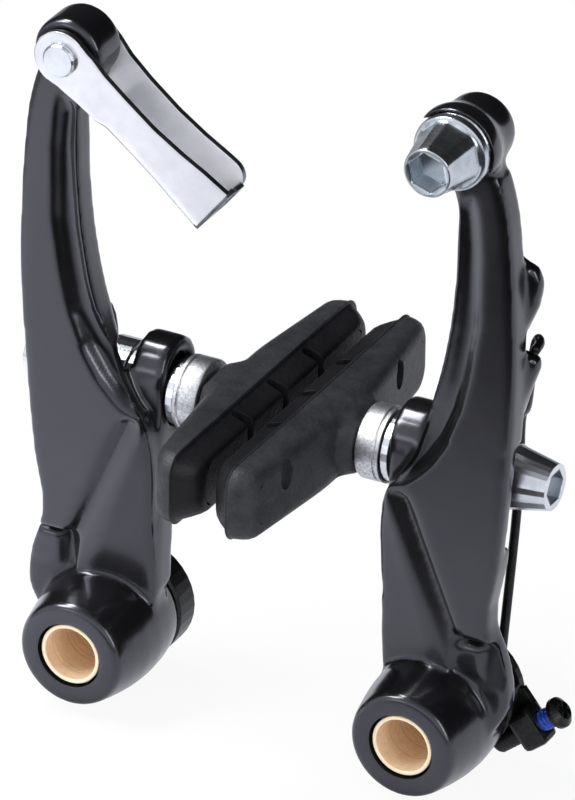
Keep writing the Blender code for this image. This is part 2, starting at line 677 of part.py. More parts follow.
def brake_pad(name, side):
    """A moulded rubber shoe: friction block, round back, collar and water grooves."""
    def place(u):
        return Matrix.Translation((side * (PIVOT + u), PAD_CENTRE_Y, POST_HEIGHT)) @ turn_to_yz()

    buried = PAD_BLOCK + 1 * MM
    pad = plate(name, pad_outline(PAD_LENGTH - 1.6 * MM, PAD_HEIGHT - 1.6 * MM), buried,
                place(PAD_FACE + buried / 2), collection=brake)
    rounded(pad, 0.5 * MM, 1)
    back_from = PAD_FACE + PAD_BLOCK * 0.4
    back_to = PAD_FACE + PAD_BLOCK + PAD_BACK
    back = plate(name + "_back", pad_outline(PAD_LENGTH, PAD_HEIGHT), back_to - back_from,
                 place((back_from + back_to) / 2))
    rounded(back, PAD_ROUND, 3, 50)
    cut(back, *pad_tapers(name, side, back_to))
    collar = cylinder(name + "_collar", PAD_COLLAR_RADIUS, 2 * PAD_COLLAR,
                      along_x(side * (PIVOT + back_to), POST_Y, POST_HEIGHT, side))
    fuse(pad, back, collar)
    for number in range(GROOVES):
        y = POST_Y + (number - (GROOVES - 1) / 2) * GROOVE_PITCH
        centre = (side * (PIVOT + PAD_FACE), y, POST_HEIGHT)
        cut(pad, block(f"{name}_groove_{number}", (2 * WATER_GROOVE_DEPTH, WATER_GROOVE, 2 * PAD_HEIGHT),
                       Matrix.Translation(centre)))
    root = cylinder(name + "_stud_hole", STUD_THREAD_RADIUS + FIT, 2 * STUD_ROOT,
                    along_x(side * (PIVOT + COLLAR_FACE), POST_Y, POST_HEIGHT, side))
    cut(pad, root)
    return finish(pad, rubber())


def pad_stud(name, side):
    """The threaded stud moulded into the pad."""
    end = PLATE_MID + CUP_SEAT_RADIUS + THIN_CUP + NUT_BORE - FIT
    start = COLLAR_FACE - STUD_ROOT + FIT
    length = end - start
    edge = 0.5 * MM
    profile = [(0, 0), (STUD_THREAD_RADIUS - edge, 0), (STUD_THREAD_RADIUS, -edge),
               (STUD_THREAD_RADIUS, edge - length), (STUD_THREAD_RADIUS - edge, -length), (0, -length)]
    place = along_x(side * (PIVOT + end), POST_Y, POST_HEIGHT, side)
    return finish(turned(name, profile, place, 24, brake), zinc())


def sphere_arc(radius, outer, inner):
    """(radius, height) points along a sphere about the stud's crossing with the eye's middle."""
    steps = 3
    radii = [outer + (inner - outer) * number / steps for number in range(steps + 1)]
    return [(r, math.sqrt(radius ** 2 - r ** 2)) for r in radii]


def facing(side, toward):
    """A place at the eye's middle whose local Z runs along the stud, outwards or to the wheel."""
    return along_x(side * (PIVOT + PLATE_MID), POST_Y, POST_HEIGHT, side * toward)


def dome_washer(name, side, toward):
    """A washer flat against the eye and round on its other face."""
    bore = STUD_THREAD_RADIUS + FIT
    flat = EYE_THICKNESS / 2 + FIT
    arc = sphere_arc(SPHERE_RADIUS, WASHER_RADIUS - 0.5 * MM, bore)
    profile = list(reversed(arc)) + [(WASHER_RADIUS - 0.5 * MM, flat), (bore, flat)]
    return finish(turned(name, profile, facing(side, toward), 28, brake), zinc())


def cup_washer(name, side, toward, outer_face):
    """A washer hollowed to the dome's sphere and flat on its other face."""
    bore = STUD_THREAD_RADIUS + FIT
    edge = 0.4 * MM
    arc = sphere_arc(SPHERE_RADIUS + FIT, WASHER_RADIUS - 0.3 * MM, bore)
    profile = [(bore, outer_face), (WASHER_RADIUS - edge, outer_face), (WASHER_RADIUS, outer_face - edge),
               (WASHER_RADIUS, arc[0][1])] + arc
    return finish(turned(name, profile, facing(side, toward), 28, brake), zinc())


def cone_with_flats(name, place, low, high, length, flats_low, flats_high):
    """A cone about local Z, cut by a tapered hexagon to leave six flats."""
    cone = prism(name + "_cone", low, high, length, place, 28)
    hexagonal = prism(name + "_flats", flats_low / math.cos(math.pi / 6), flats_high / math.cos(math.pi / 6),
                      length * 1.001, place, 6)
    combine(cone, hexagonal, "INTERSECT")
    return cone


def pad_nut(name, side):
    """The conical nut with a hex socket in its end and a bore for the stud."""
    start = PLATE_MID + CUP_SEAT_RADIUS + THIN_CUP + FIT
    base = NUT_LENGTH * 0.5
    place = along_x(side * (PIVOT + start), POST_Y, POST_HEIGHT, side)
    profile = [(0, base), (NUT_RADIUS, base), (NUT_RADIUS, 0), (0, 0)]
    nut = turned(name, profile, place, 28, brake)
    buried = base - SEAM
    cone_place = place @ Matrix.Translation((0, 0, (NUT_LENGTH + buried) / 2))
    fuse(nut, cone_with_flats(name, cone_place, NUT_RADIUS - SEAM, NUT_TIP_RADIUS, NUT_LENGTH - buried,
                              NUT_RADIUS * 0.96, NUT_TIP_RADIUS * 0.98))
    cut(nut, hexagon(name + "_socket", SOCKET_FLATS, 2 * SOCKET_DEPTH,
                     place @ Matrix.Translation((0, 0, NUT_LENGTH))),
        cylinder(name + "_bore", STUD_THREAD_RADIUS + FIT, 2 * NUT_BORE, place, 28))
    return finish(nut, zinc())


def guide_outline():
    """The folded cable guide from the side, along its length from the rivet."""
    length, rise, drop, radius, waist = (GUIDE_REACH, GUIDE_END_RISE, GUIDE_END_DROP, GUIDE_END_RADIUS, GUIDE_WAIST)
    angles = [math.radians(100 + 140 * number / 10) for number in range(11)]
    points = [(radius * math.cos(angle), radius * math.sin(angle)) for angle in angles]
    points += [(length * 0.12, 1.2 * MM - radius), (length * 0.3, -waist), (length * 0.72, -waist),
               (length, -drop), (length, rise), (length * 0.87, rise * 0.92), (length * 0.55, waist * 1.2),
               (length * 0.2, waist * 1.25), (length * 0.05, radius)]
    return points


def guide_place(y):
    """The guide's frame: local X along it from the rivet, local Y up, local Z to the front."""
    turn = Matrix.Rotation(GUIDE_SLOPE, 4, "Z")
    return along_y(-PIVOT - HEAD_OFFSET, y, ARM_LENGTH) @ turn


def cable_guide(name):
    """A strip folded to a channel round the arm's head, with a keyhole in its closed end."""
    middle = FRONT + LEFT_HEAD_FRONT + HEAD_THICKNESS / 2
    width = HEAD_THICKNESS + 2 * FIT + 2 * SHEET
    guide = plate(name, guide_outline(), width, guide_place(middle), collection=brake)
    rounded(guide, 0.4 * MM)
    inside = GUIDE_REACH - SHEET
    beyond, bend = 12 * MM, GUIDE_REACH * 0.3
    hollow = [(-beyond, -beyond), (bend, -beyond), (bend, SHEET - GUIDE_WAIST),
              (GUIDE_REACH * 0.72, SHEET - GUIDE_WAIST), (inside, SHEET - GUIDE_END_DROP), (inside, beyond),
              (-beyond, beyond)]
    cut(guide, plate(name + "_hollow", hollow, width - 2 * SHEET, guide_place(middle)))
    end_place = guide_place(middle) @ Matrix.Translation((GUIDE_REACH, KEYHOLE_RISE, 0))
    across = end_place @ Matrix.Rotation(math.radians(90), 4, "Y")
    cut(guide, cylinder(name + "_keyhole", KEYHOLE_RADIUS, 6 * MM, across, 24),
        block(name + "_keyway", (6 * MM, 12 * MM, KEYWAY), end_place @ Matrix.Translation((0, 6 * MM, 0))),
        cylinder(name + "_rivet_hole", RIVET_RADIUS + FIT, 40 * MM, guide_place(middle), 24))
    return finish(guide, zinc())


def guide_rivet(name):
    """The rivet that the guide turns on, headed at both ends."""
    top = FIT + SHEET + FIT
    grip = HEAD_THICKNESS + 2 * top
    place = along_y(-PIVOT - HEAD_OFFSET, FRONT + LEFT_HEAD_FRONT - top, ARM_LENGTH)
    edge = 0.3 * MM
    profile = [(0, RIVET_HEAD), (RIVET_HEAD_RADIUS - edge, RIVET_HEAD), (RIVET_HEAD_RADIUS, RIVET_HEAD - edge),
               (RIVET_HEAD_RADIUS, 0), (RIVET_RADIUS, 0), (RIVET_RADIUS, -grip), (RIVET_HEAD_RADIUS, -grip),
               (RIVET_HEAD_RADIUS, edge - RIVET_HEAD - grip), (RIVET_HEAD_RADIUS - edge, -RIVET_HEAD - grip),
               (0, -RIVET_HEAD - grip)]
    return finish(turned(name, profile, place, 24, brake), zinc())


def anchor_washer(name):
    """The washer that clamps the cable to the right arm."""
    bore = BOLT_RADIUS + FIT
    place = along_y(PIVOT + HEAD_OFFSET, FRONT + RIGHT_HEAD_FRONT - FIT - ANCHOR_WASHER, ARM_LENGTH)
    profile = [(bore, 0), (FLANGE_RADIUS - 0.3 * MM, 0), (FLANGE_RADIUS, -0.3 * MM),
               (FLANGE_RADIUS, -ANCHOR_WASHER), (bore, -ANCHOR_WASHER)]
    return finish(turned(name, profile, place, 32, brake), zinc())


def anchor_bolt(name):
    """The cable's clamp bolt: flange, cone with six flats, hex socket and a threaded shank."""
    seat = FRONT + RIGHT_HEAD_FRONT - 2 * FIT - ANCHOR_WASHER
    place = along_y(PIVOT + HEAD_OFFSET, seat, ARM_LENGTH)
    shank = RIGHT_HEAD_THICKNESS + ANCHOR_WASHER + 2 * FIT
    edge = 0.3 * MM
    profile = [(0, FLANGE_THICKNESS), (FLANGE_RADIUS - edge, FLANGE_THICKNESS),
               (FLANGE_RADIUS, FLANGE_THICKNESS - edge), (FLANGE_RADIUS, 0), (BOLT_RADIUS, 0),
               (BOLT_RADIUS, edge - shank), (BOLT_RADIUS - edge, -shank), (0, -shank)]
    bolt = turned(name, profile, place, 32, brake)
    cone_place = place @ Matrix.Translation((0, 0, (FLANGE_THICKNESS + CONE_LENGTH) / 2))
    fuse(bolt, cone_with_flats(name, cone_place, CONE_RADIUS, TIP_RADIUS, CONE_LENGTH + FLANGE_THICKNESS * 0.5,
                               CONE_RADIUS * 0.93, TIP_RADIUS * 0.97))
    tip = place @ Matrix.Translation((0, 0, FLANGE_THICKNESS + CONE_LENGTH))
    cut(bolt, hexagon(name + "_socket", SOCKET_FLATS, 2 * SOCKET_DEPTH, tip))
    return finish(bolt, zinc())


def caliper_side(label, side, screw_out, head_front, head_depth, seat_radius):
    """Everything that both sides of the brake have, mirrored about the wheel's plane."""
    forging = arm(f"{label}_arm", side, head_front, head_depth, seat_radius)
    bushing(f"{label}_bushing", side)
    carrier(f"{label}_spring_carrier", side)
    return_spring(f"{label}_return_spring", side)
    adjusting_screw(f"{label}_adjusting_screw", side, screw_out)
    brake_pad(f"{label}_brake_pad", side)
    pad_stud(f"{label}_pad_stud", side)
    dome_washer(f"{label}_inner_dome_washer", side, -1)
    cup_washer(f"{label}_thick_cup_washer", side, -1, PLATE_MID - COLLAR_FACE - FIT)
    dome_washer(f"{label}_outer_dome_washer", side, 1)
    cup_washer(f"{label}_thin_cup_washer", side, 1, CUP_SEAT_RADIUS + THIN_CUP)
    pad_nut(f"{label}_pad_nut", side)
    return forging


def build():
    for piece in list(bpy.context.scene.objects):
        bpy.data.objects.remove(piece)
    bpy.context.scene.collection.children.link(brake)
    bpy.context.scene.collection.children.link(cutters)
    left = caliper_side("left", -1, LEFT_SCREW_OUT, LEFT_HEAD_FRONT, HEAD_THICKNESS, GUIDE_SEAT_RADIUS)
    right = caliper_side("right", 1, RIGHT_SCREW_OUT, RIGHT_HEAD_FRONT, RIGHT_HEAD_THICKNESS,
                         FLANGE_RADIUS + 0.7 * MM)
    cut(left, cylinder("rivet_bore", RIVET_RADIUS + FIT, 60 * MM,
                       along_y(-PIVOT - HEAD_OFFSET, FRONT, ARM_LENGTH), 24))
    fuse(right, cable_lip("right_arm", 1))
    cut(right, cylinder("bolt_bore", BOLT_RADIUS + FIT, 60 * MM,
                        along_y(PIVOT + HEAD_OFFSET, FRONT, ARM_LENGTH), 28))
    cable_guide("cable_guide")
    guide_rivet("guide_rivet")
    anchor_washer("anchor_washer")
    anchor_bolt("anchor_bolt")


build()
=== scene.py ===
import math
import bmesh
import bpy
import numpy as np
from mathutils import Matrix, Vector


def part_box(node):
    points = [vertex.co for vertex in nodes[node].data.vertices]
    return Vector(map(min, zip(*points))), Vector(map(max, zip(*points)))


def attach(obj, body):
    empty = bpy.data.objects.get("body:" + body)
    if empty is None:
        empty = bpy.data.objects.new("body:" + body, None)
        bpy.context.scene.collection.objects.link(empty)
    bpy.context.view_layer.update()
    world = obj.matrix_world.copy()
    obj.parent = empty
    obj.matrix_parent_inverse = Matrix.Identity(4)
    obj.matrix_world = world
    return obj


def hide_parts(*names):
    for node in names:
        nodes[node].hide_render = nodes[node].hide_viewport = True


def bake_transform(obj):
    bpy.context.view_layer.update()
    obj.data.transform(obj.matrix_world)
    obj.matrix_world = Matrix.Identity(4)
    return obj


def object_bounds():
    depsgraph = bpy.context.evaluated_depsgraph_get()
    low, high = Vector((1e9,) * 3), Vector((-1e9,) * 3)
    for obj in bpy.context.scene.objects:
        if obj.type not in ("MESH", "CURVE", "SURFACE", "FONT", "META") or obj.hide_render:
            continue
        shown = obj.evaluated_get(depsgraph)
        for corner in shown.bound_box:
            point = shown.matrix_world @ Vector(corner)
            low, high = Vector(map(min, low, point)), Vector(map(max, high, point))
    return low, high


# A linear-pull bicycle brake, seen from the front right and a little above.
# Lengths are in metres; +X is right, +Y runs back to the bicycle frame, +Z is up.

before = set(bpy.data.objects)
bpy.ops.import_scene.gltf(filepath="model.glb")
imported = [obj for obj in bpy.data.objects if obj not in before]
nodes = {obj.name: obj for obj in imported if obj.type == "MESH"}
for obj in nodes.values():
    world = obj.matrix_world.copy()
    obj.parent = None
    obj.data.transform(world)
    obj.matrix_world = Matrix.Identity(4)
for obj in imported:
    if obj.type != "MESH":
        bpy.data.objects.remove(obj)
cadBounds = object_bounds()
mm = 0.001
sides = (("left", -1), ("right", 1))
print("frame loaded,", len(nodes), "nodes")


def linked(name, data):
    # a new object in the scene
    piece = bpy.data.objects.new(name, data)
    bpy.context.scene.collection.objects.link(piece)
    return piece


def middleOf(name):
    low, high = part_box(name)
    return [(a + b) / 2 for a, b in zip(low, high)]


# Camera: a long lens, turned to the right of the brake's front
cameraView = {"azimuth": 27.35, "elevation": 28.5, "roll": 0.84, "distance": 1.6,
              "target": (0.0013, -0.0094, 0.0462), "lens": 473.0}


def makeCamera(view):
    azimuth, elevation, roll = (math.radians(view[k]) for k in ("azimuth", "elevation", "roll"))
    toCamera = Vector((math.sin(azimuth) * math.cos(elevation), -math.cos(azimuth) * math.cos(elevation),
                       math.sin(elevation)))
    right = Vector((math.cos(azimuth), math.sin(azimuth), 0))
    up = toCamera.cross(right)
    turned = math.cos(roll) * right + math.sin(roll) * up
    up = toCamera.cross(turned)
    camera = linked("camera", bpy.data.cameras.new("camera"))
    camera.data.lens = view["lens"]
    camera.data.clip_end = 10
    turn = Matrix((turned, up, toCamera)).transposed().to_4x4()
    camera.matrix_world = Matrix.Translation(Vector(view["target"]) + toCamera * view["distance"]) @ turn
    bpy.context.scene.camera = camera


makeCamera(cameraView)
print("camera ready")


# Lights, world and floor
studio = {"floorBelow": 0.3 * mm, "floorHalf": 3.0, "floorColour": (0.9, 0.9, 0.9), "floorRough": 0.9,
          "floorGlow": 0.93, "worldSeen": 1.0, "tint": (0.94, 0.95, 1.02),
          # the world's strength along Y and Z: at the first end, at the second, and where the ends are
          "tentY": (1.0, 0.02, -0.45, 0.1), "tentZ": (1.0, 0.35, 0.35, 0.95),
          # the floor that reflections see: its shine, and what is taken off in front, on the right and on the left
          "nearShine": 1.3, "farShade": 1.1, "shadeY": (-0.20, -0.04), "shadeX": (-0.13, -0.04),
          "sideShade": 0.42, "sideX": (-0.06, -0.01), "leftShade": 0.85, "leftX": (-0.26, -0.15),
          "lampsAim": (0, -0.01, 0.05)}
lamps = {
    "keyLight": {"at": (-0.55, -0.35, 0.75), "size": (0.35, 0.35), "power": 6.0},
    "frontLight": {"at": (-0.5, -1.0, 0.3), "size": (0.3, 0.3), "power": 0.5},
    "fillLight": {"at": (0.75, -0.35, 0.35), "size": (0.1, 0.5), "power": 1.2},
    "overheadLight": {"at": (-0.4, 0.0, 0.85), "size": (0.3, 0.2), "power": 4.5},
}


def makeLamps(values, target):
    for name, v in values.items():
        lamp = bpy.data.lights.new(name, "AREA")
        lamp.shape = "RECTANGLE"
        lamp.size, lamp.size_y = v["size"]
        lamp.energy = v["power"]
        away = Vector(v["at"]) - target
        turn = away.to_track_quat("Z", "Y").to_matrix().to_4x4()
        linked(name, lamp).matrix_world = Matrix.Translation(v["at"]) @ turn


def makeNode(tree, kind, **inputs):
    # a node whose inputs, named with _ for a space, take a value, another node's output or nothing
    node = tree.nodes.new("ShaderNode" + kind)
    for name, value in inputs.items():
        socket = node.inputs[name.replace("_", " ")]
        if isinstance(value, bpy.types.NodeSocket):
            tree.links.new(value, socket)
        elif value is not None:
            socket.default_value = value
    return node


def spanNode(tree, value, low, high, start, end):
    # low at start and before, high at end and beyond, smooth between
    span = makeNode(tree, "MapRange", Value=value, From_Min=start, From_Max=end, To_Min=low, To_Max=high)
    span.interpolation_type = "SMOOTHSTEP"
    return span.outputs["Result"]


def mathNode(tree, kind, first, second=0.0):
    # the result of an operation on a socket and a second socket or number
    node = tree.nodes.new("ShaderNodeMath")
    node.operation = kind
    tree.links.new(first, node.inputs[0])
    if isinstance(second, float):
        node.inputs[1].default_value = second
    else:
        tree.links.new(second, node.inputs[1])
    return node.outputs[0]


def mixNode(tree, share, under, top):
    # the shader under where the share is 0, and top where it is 1
    node = tree.nodes.new("ShaderNodeMixShader")
    for source, socket in zip((share, under, top), node.inputs):
        tree.links.new(source, socket)
    return node.outputs[0]


def axesOf(tree, vector):
    return makeNode(tree, "SeparateXYZ", Vector=vector).outputs


def makeWorld(v):
    # white for the camera; everything else sees a tent that is bright in front and dark behind and on top
    world = bpy.data.worlds.new("studioWorld")
    bpy.context.scene.world = world
    world.use_nodes = True
    tree = world.node_tree
    seen = tree.nodes["Background"]
    seen.inputs["Color"].default_value = (1, 1, 1, 1)
    seen.inputs["Strength"].default_value = v["worldSeen"]
    place = axesOf(tree, makeNode(tree, "TexCoord").outputs["Generated"])
    strength = mathNode(tree, "MULTIPLY", spanNode(tree, place["Y"], *v["tentY"]),
                        spanNode(tree, place["Z"], *v["tentZ"]))
    light = makeNode(tree, "Background", Color=(*v["tint"], 1), Strength=strength)
    cameraRay = makeNode(tree, "LightPath").outputs["Is Camera Ray"]
    mix = mixNode(tree, cameraRay, light.outputs[0], seen.outputs[0])
    tree.links.new(mix, tree.nodes["World Output"].inputs["Surface"])


def makeFloor(v, lowest):
    # pale paper: nearly white to the camera; reflections see it bright close by, and darker far in front,
    # on the right and far on the left
    mesh = bpy.data.meshes.new("floor")
    half, base = v["floorHalf"], lowest - v["floorBelow"]
    corners = [(x * half, y * half, base) for x, y in ((-1, -1), (1, -1), (1, 1), (-1, 1))]
    mesh.from_pydata(corners, [], [(0, 1, 2, 3)])
    floor = linked("floor", mesh)
    paper = bpy.data.materials.new("palePaper")
    paper.use_nodes = True
    tree = paper.node_tree
    shader = tree.nodes["Principled BSDF"]
    shader.inputs["Base Color"].default_value = (*v["floorColour"], 1)
    shader.inputs["Roughness"].default_value = v["floorRough"]
    place = axesOf(tree, makeNode(tree, "TexCoord").outputs["Object"])
    shade = mathNode(tree, "MULTIPLY", spanNode(tree, place["Y"], 1.0, 0.0, *v["shadeY"]),
                     spanNode(tree, place["X"], 0.0, 1.0, *v["shadeX"]))
    level = spanNode(tree, shade, v["nearShine"], v["nearShine"] - v["farShade"], 0.0, 1.0)
    for low, high, ends in ((0.0, v["sideShade"], v["sideX"]), (v["leftShade"], 0.0, v["leftX"])):
        level = mathNode(tree, "SUBTRACT", level, spanNode(tree, place["X"], low, high, *ends))
    shine = makeNode(tree, "Emission", Color=(*v["tint"], 1), Strength=mathNode(tree, "MAXIMUM", level))
    glow = makeNode(tree, "Emission")
    path = makeNode(tree, "LightPath")
    share = mathNode(tree, "MULTIPLY", path.outputs["Is Camera Ray"], v["floorGlow"])
    seen = mixNode(tree, share, shader.outputs[0], glow.outputs[0])
    seen = mixNode(tree, path.outputs["Is Glossy Ray"], seen, shine.outputs[0])
    tree.links.new(seen, tree.nodes["Material Output"].inputs["Surface"])
    mesh.materials.append(paper)


makeLamps(lamps, Vector(studio["lampsAim"]))
makeWorld(studio)
makeFloor(studio, cadBounds[0][2])
bpy.context.scene.view_settings.view_transform = "Standard"
print("studio ready")


# Materials: colours and roughness from one end of a noise to the other, and the scales of the noises
looks = {
    "armPaint": {"colours": ((0.0045, 0.0045, 0.005), (0.0075, 0.0075, 0.0082)), "rough": (0.17, 0.27),
                 "swell": 170, "hammer": 750, "grain": 2200, "tint": (0.86, 0.87, 1.0, 1), "coatRough": 0.06,
                 # specular and coat where painted shade darkens the hollows and where the skin is open, and what
                 # counts as that
                 "specular": (0.12, 0.92), "coat": (0.0, 0.2), "shelter": 9 * mm, "open": (0.4, 0.88)},
    "fastenerZinc": {"colours": ((0.66, 0.70, 0.74), (0.86, 0.89, 0.92)), "rough": (0.18, 0.3),
                     "streaks": (1, 30, 1)},
    "boltZinc": {"colours": ((0.46, 0.52, 0.56), (0.74, 0.79, 0.83)), "rough": (0.2, 0.32),
                 "streaks": (1, 30, 1)},
    # dark steel: real on the guide's cut edges, and painted shade on its end wall
    "cutSteel": {"colours": ((0.10, 0.11, 0.12), (0.30, 0.32, 0.34)), "rough": (0.3, 0.45), "streaks": (4, 4, 1)},
    # the guide's sheet: inside is its metallic level towards the back, painted light that lightens the channel's
    # back wall
    "guideZinc": {"colours": ((0.80, 0.82, 0.85), (0.93, 0.94, 0.96)), "rough": (0.24, 0.36),
                  "streaks": (4, 4, 1), "inside": 0.12, "insideY": (-15.0 * mm, -14.2 * mm)},
    "spacerZinc": {"colours": ((0.42, 0.43, 0.45), (0.86, 0.87, 0.9)), "rough": (0.5, 0.35), "metallic": 1.0,
                   "noise": (2600, 4.0, 0.7), "ends": (0.35, 0.65), "bump": (0.05 * mm, 0.7), "soft": 0.2 * mm},
    # the bronze's pale front is a painted highlight: its colour, and the depths that it fades between
    "bushingBronze": {"colours": ((0.80, 0.59, 0.38), (0.95, 0.75, 0.52)), "rough": (0.22, 0.36), "pores": 1500,
                      "metallic": 0.25, "faced": (1.0, 0.84, 0.6), "facedY": (-22.9 * mm, -22.75 * mm)},
    "padRubber": {"colours": ((0.018, 0.019, 0.023), (0.046, 0.047, 0.053)), "rough": (0.36, 0.58),
                  "friction": ((0.006, 0.006, 0.007), (0.012, 0.012, 0.014)), "specular": 0.3,
                  "frictionX": (4.6 * mm, 4.75 * mm), "bloom": 420, "grain": 1500},
    "carrierSteel": {"colours": ((0.012, 0.012, 0.013), (0.035, 0.035, 0.036)), "rough": (0.28, 0.42),
                     "metallic": 0.6, "noise": (900, 5.0, 0.7), "ends": (0.45, 0.75), "bump": (0.01 * mm, 0.4),
                     "soft": 0.2 * mm},
    "lockBlue": {"colours": ((0.004, 0.03, 0.28), (0.012, 0.09, 0.62)), "rough": (0.3, 0.5), "metallic": 0.0,
                 "noise": (1400, 4.0, 0.6), "ends": (0.3, 0.7), "bump": (0.03 * mm, 0.6), "soft": None},
}
looks["springSteel"] = {**looks["carrierSteel"], "rough": (0.22, 0.36)}


class Recipe:
    # a material's node tree with short calls for the nodes it is made of
    def __init__(self, name):
        self.material = bpy.data.materials.new(name)
        self.material.use_nodes = True
        self.tree = self.material.node_tree
        self.shader = self.tree.nodes["Principled BSDF"]
        self.place = self.tree.nodes.new("ShaderNodeTexCoord").outputs["Object"]

    def link(self, source, target):
        self.tree.links.new(source, target)

    def stretched(self, scale):
        return makeNode(self.tree, "Mapping", Vector=self.place, Scale=scale).outputs["Vector"]

    def noise(self, scale, detail=4.0, roughness=0.5, vector=None):
        return makeNode(self.tree, "TexNoise", Scale=scale, Detail=detail, Roughness=roughness,
                        Vector=vector or self.place).outputs["Fac"]

    def ramp(self, value, low, high, start=0.3, end=0.7):
        node = makeNode(self.tree, "ValToRGB", Fac=value)
        for element, colour, at in zip(node.color_ramp.elements, (low, high), (start, end)):
            element.position, element.color = at, (*colour, 1)
        return node.outputs["Color"]

    def span(self, value, low, high):
        return makeNode(self.tree, "MapRange", Value=value, To_Min=low, To_Max=high).outputs["Result"]

    def bump(self, value, distance, strength=1.0, under=None):
        return makeNode(self.tree, "Bump", Strength=strength, Distance=distance, Height=value,
                        Normal=under).outputs["Normal"]

    def mixed(self, share, first, second):
        # the first colour where the share is 0, and the second where it is 1
        node = self.tree.nodes.new("ShaderNodeMix")
        node.data_type = "RGBA"
        self.link(share, node.inputs["Factor"])
        for source, socket in ((first, node.inputs["A"]), (second, node.inputs["B"])):
            if isinstance(source, tuple):
                socket.default_value = (*source, 1)
            else:
                self.link(source, socket)
        return node.outputs["Result"]

    def softEdges(self, radius):
        node = makeNode(self.tree, "Bevel", Radius=radius)
        node.samples = 6
        return node.outputs["Normal"]

    def made(self, colour, rough, normal, **values):
        for source, name in ((colour, "Base Color"), (rough, "Roughness"), (normal, "Normal")):
            self.link(source, self.shader.inputs[name])
        for name, value in values.items():
            self.shader.inputs[name.replace("_", " ")].default_value = value
        return self.material


def blackPaint(name):
    # satin black over a forged skin: slow swells, a hammered look, a fine grain and a clear gloss on top
    r, v = Recipe(name), looks[name]
    swell, hammered, fine = r.noise(v["swell"], 2.0), r.noise(v["hammer"], 2.0), r.noise(v["grain"], 3.0, 0.6)
    # painted shade: ambient occlusion takes specular and coat off hollows and inside corners, so they reflect less
    # than open faces
    shelter = makeNode(r.tree, "AmbientOcclusion", Distance=v["shelter"])
    shelter.samples = 6
    for ends, socket in ((v["specular"], "Specular IOR Level"), (v["coat"], "Coat Weight")):
        r.link(spanNode(r.tree, shelter.outputs["AO"], *ends, *v["open"]), r.shader.inputs[socket])
    normal = r.bump(hammered, 0.03 * mm, 0.35, r.bump(swell, 0.1 * mm, 0.3))
    return r.made(r.ramp(swell, *v["colours"]), r.span(fine, *v["rough"]), r.bump(fine, 0.01 * mm, 0.45, normal),
                  Specular_Tint=v["tint"], Coat_Roughness=v["coatRough"])


def zincPlate(name):
    # bright plating: a cool grey with streaks from rolling or turning, and small darker clouds
    r, v = Recipe(name), looks[name]
    cloud = r.noise(260, 5.0, 0.6)
    line = r.noise(60, 4.0, 0.6, r.stretched(v["streaks"]))
    return r.made(r.ramp(cloud, *v["colours"]), r.span(line, *v["rough"]),
                  r.bump(line, 0.01 * mm, 0.4, r.softEdges(0.2 * mm)), Metallic=1.0)


def foldedZinc(name):
    # the guide's sheet: plated like the fasteners, and far less metallic towards the back, so that its pale base
    # colour shows as painted light on the channel's back wall
    material, v = zincPlate(name), looks[name]
    tree = material.node_tree
    back = axesOf(tree, tree.nodes["Texture Coordinate"].outputs["Object"])["Y"]
    tree.links.new(spanNode(tree, back, 1.0, v["inside"], *v["insideY"]),
                   tree.nodes["Principled BSDF"].inputs["Metallic"])
    return material


def grained(name):
    # one noise for colour, roughness and bumps: the spacers' grained sleeves, oiled black steel, thread lock
    r, v = Recipe(name), looks[name]
    grain, soft = r.noise(*v["noise"]), v["soft"] and r.softEdges(v["soft"])
    return r.made(r.ramp(grain, *v["colours"], *v["ends"]), r.span(grain, *v["rough"]),
                  r.bump(grain, *v["bump"], soft), Metallic=v["metallic"])


def turnedBronze(name):
    # sintered bronze: warm yellow with fine turning lines across the pivot's axis, and a pale painted
    # highlight on the front face
    r, v = Recipe(name), looks[name]
    pores = r.noise(v["pores"], 4.0, 0.65)
    line = r.noise(40, 3.0, 0.5, r.stretched((0.2, 60, 0.2)))
    # painted highlight: the front face is pale cream, and behind it is the bronze's own colour
    zone = spanNode(r.tree, axesOf(r.tree, r.place)["Y"], 0.0, 1.0, *v["facedY"])
    return r.made(r.mixed(zone, v["faced"], r.ramp(pores, *v["colours"])), r.span(line, *v["rough"]),
                  r.bump(line, 0.01 * mm, 0.5), Metallic=v["metallic"])


def mouldedRubber(name):
    # matt brake rubber with a faint bloom and a fine moulded grain; the friction compound, nearer the wheel
    # than the mould line, is the darker one
    r, v = Recipe(name), looks[name]
    bloom, grain = r.noise(v["bloom"], 8.0, 0.75), r.noise(v["grain"], 3.0, 0.6)
    zone = spanNode(r.tree, mathNode(r.tree, "ABSOLUTE", axesOf(r.tree, r.place)["X"]), 0.0, 1.0, *v["frictionX"])
    return r.made(r.mixed(zone, r.ramp(bloom, *v["friction"]), r.ramp(bloom, *v["colours"])),
                  r.span(grain, *v["rough"]), r.bump(grain, 0.12 * mm, 0.9, r.softEdges(0.2 * mm)),
                  Specular_IOR_Level=v["specular"])


armPaint = blackPaint("armPaint")
guideZinc = foldedZinc("guideZinc")
fastenerZinc, boltZinc, cutSteel = (zincPlate(name) for name in ("fastenerZinc", "boltZinc", "cutSteel"))
bushingBronze = turnedBronze("bushingBronze")
padRubber = mouldedRubber("padRubber")
spacerZinc, carrierSteel, springSteel, lockBlue = (grained(name) for name in (
    "spacerZinc", "carrierSteel", "springSteel", "lockBlue"))
# the washers, studs, nuts, rivet and bolt that aren't named here are zinc plated
finishOf = {"arm": armPaint, "bushing": bushingBronze, "spring_carrier": carrierSteel,
            "return_spring": springSteel, "adjusting_screw": carrierSteel, "brake_pad": padRubber,
            "thick_cup_washer": spacerZinc, "cable_guide": guideZinc}
for name, node in nodes.items():
    for slot in node.material_slots:
        slot.material = finishOf.get(name.replace("left_", "").replace("right_", ""), fastenerZinc)
print("materials ready")


# Shared by the pieces below
pivotX = middleOf("right_bushing")[0]
postY, postZ = middleOf("left_pad_stud")[1:]


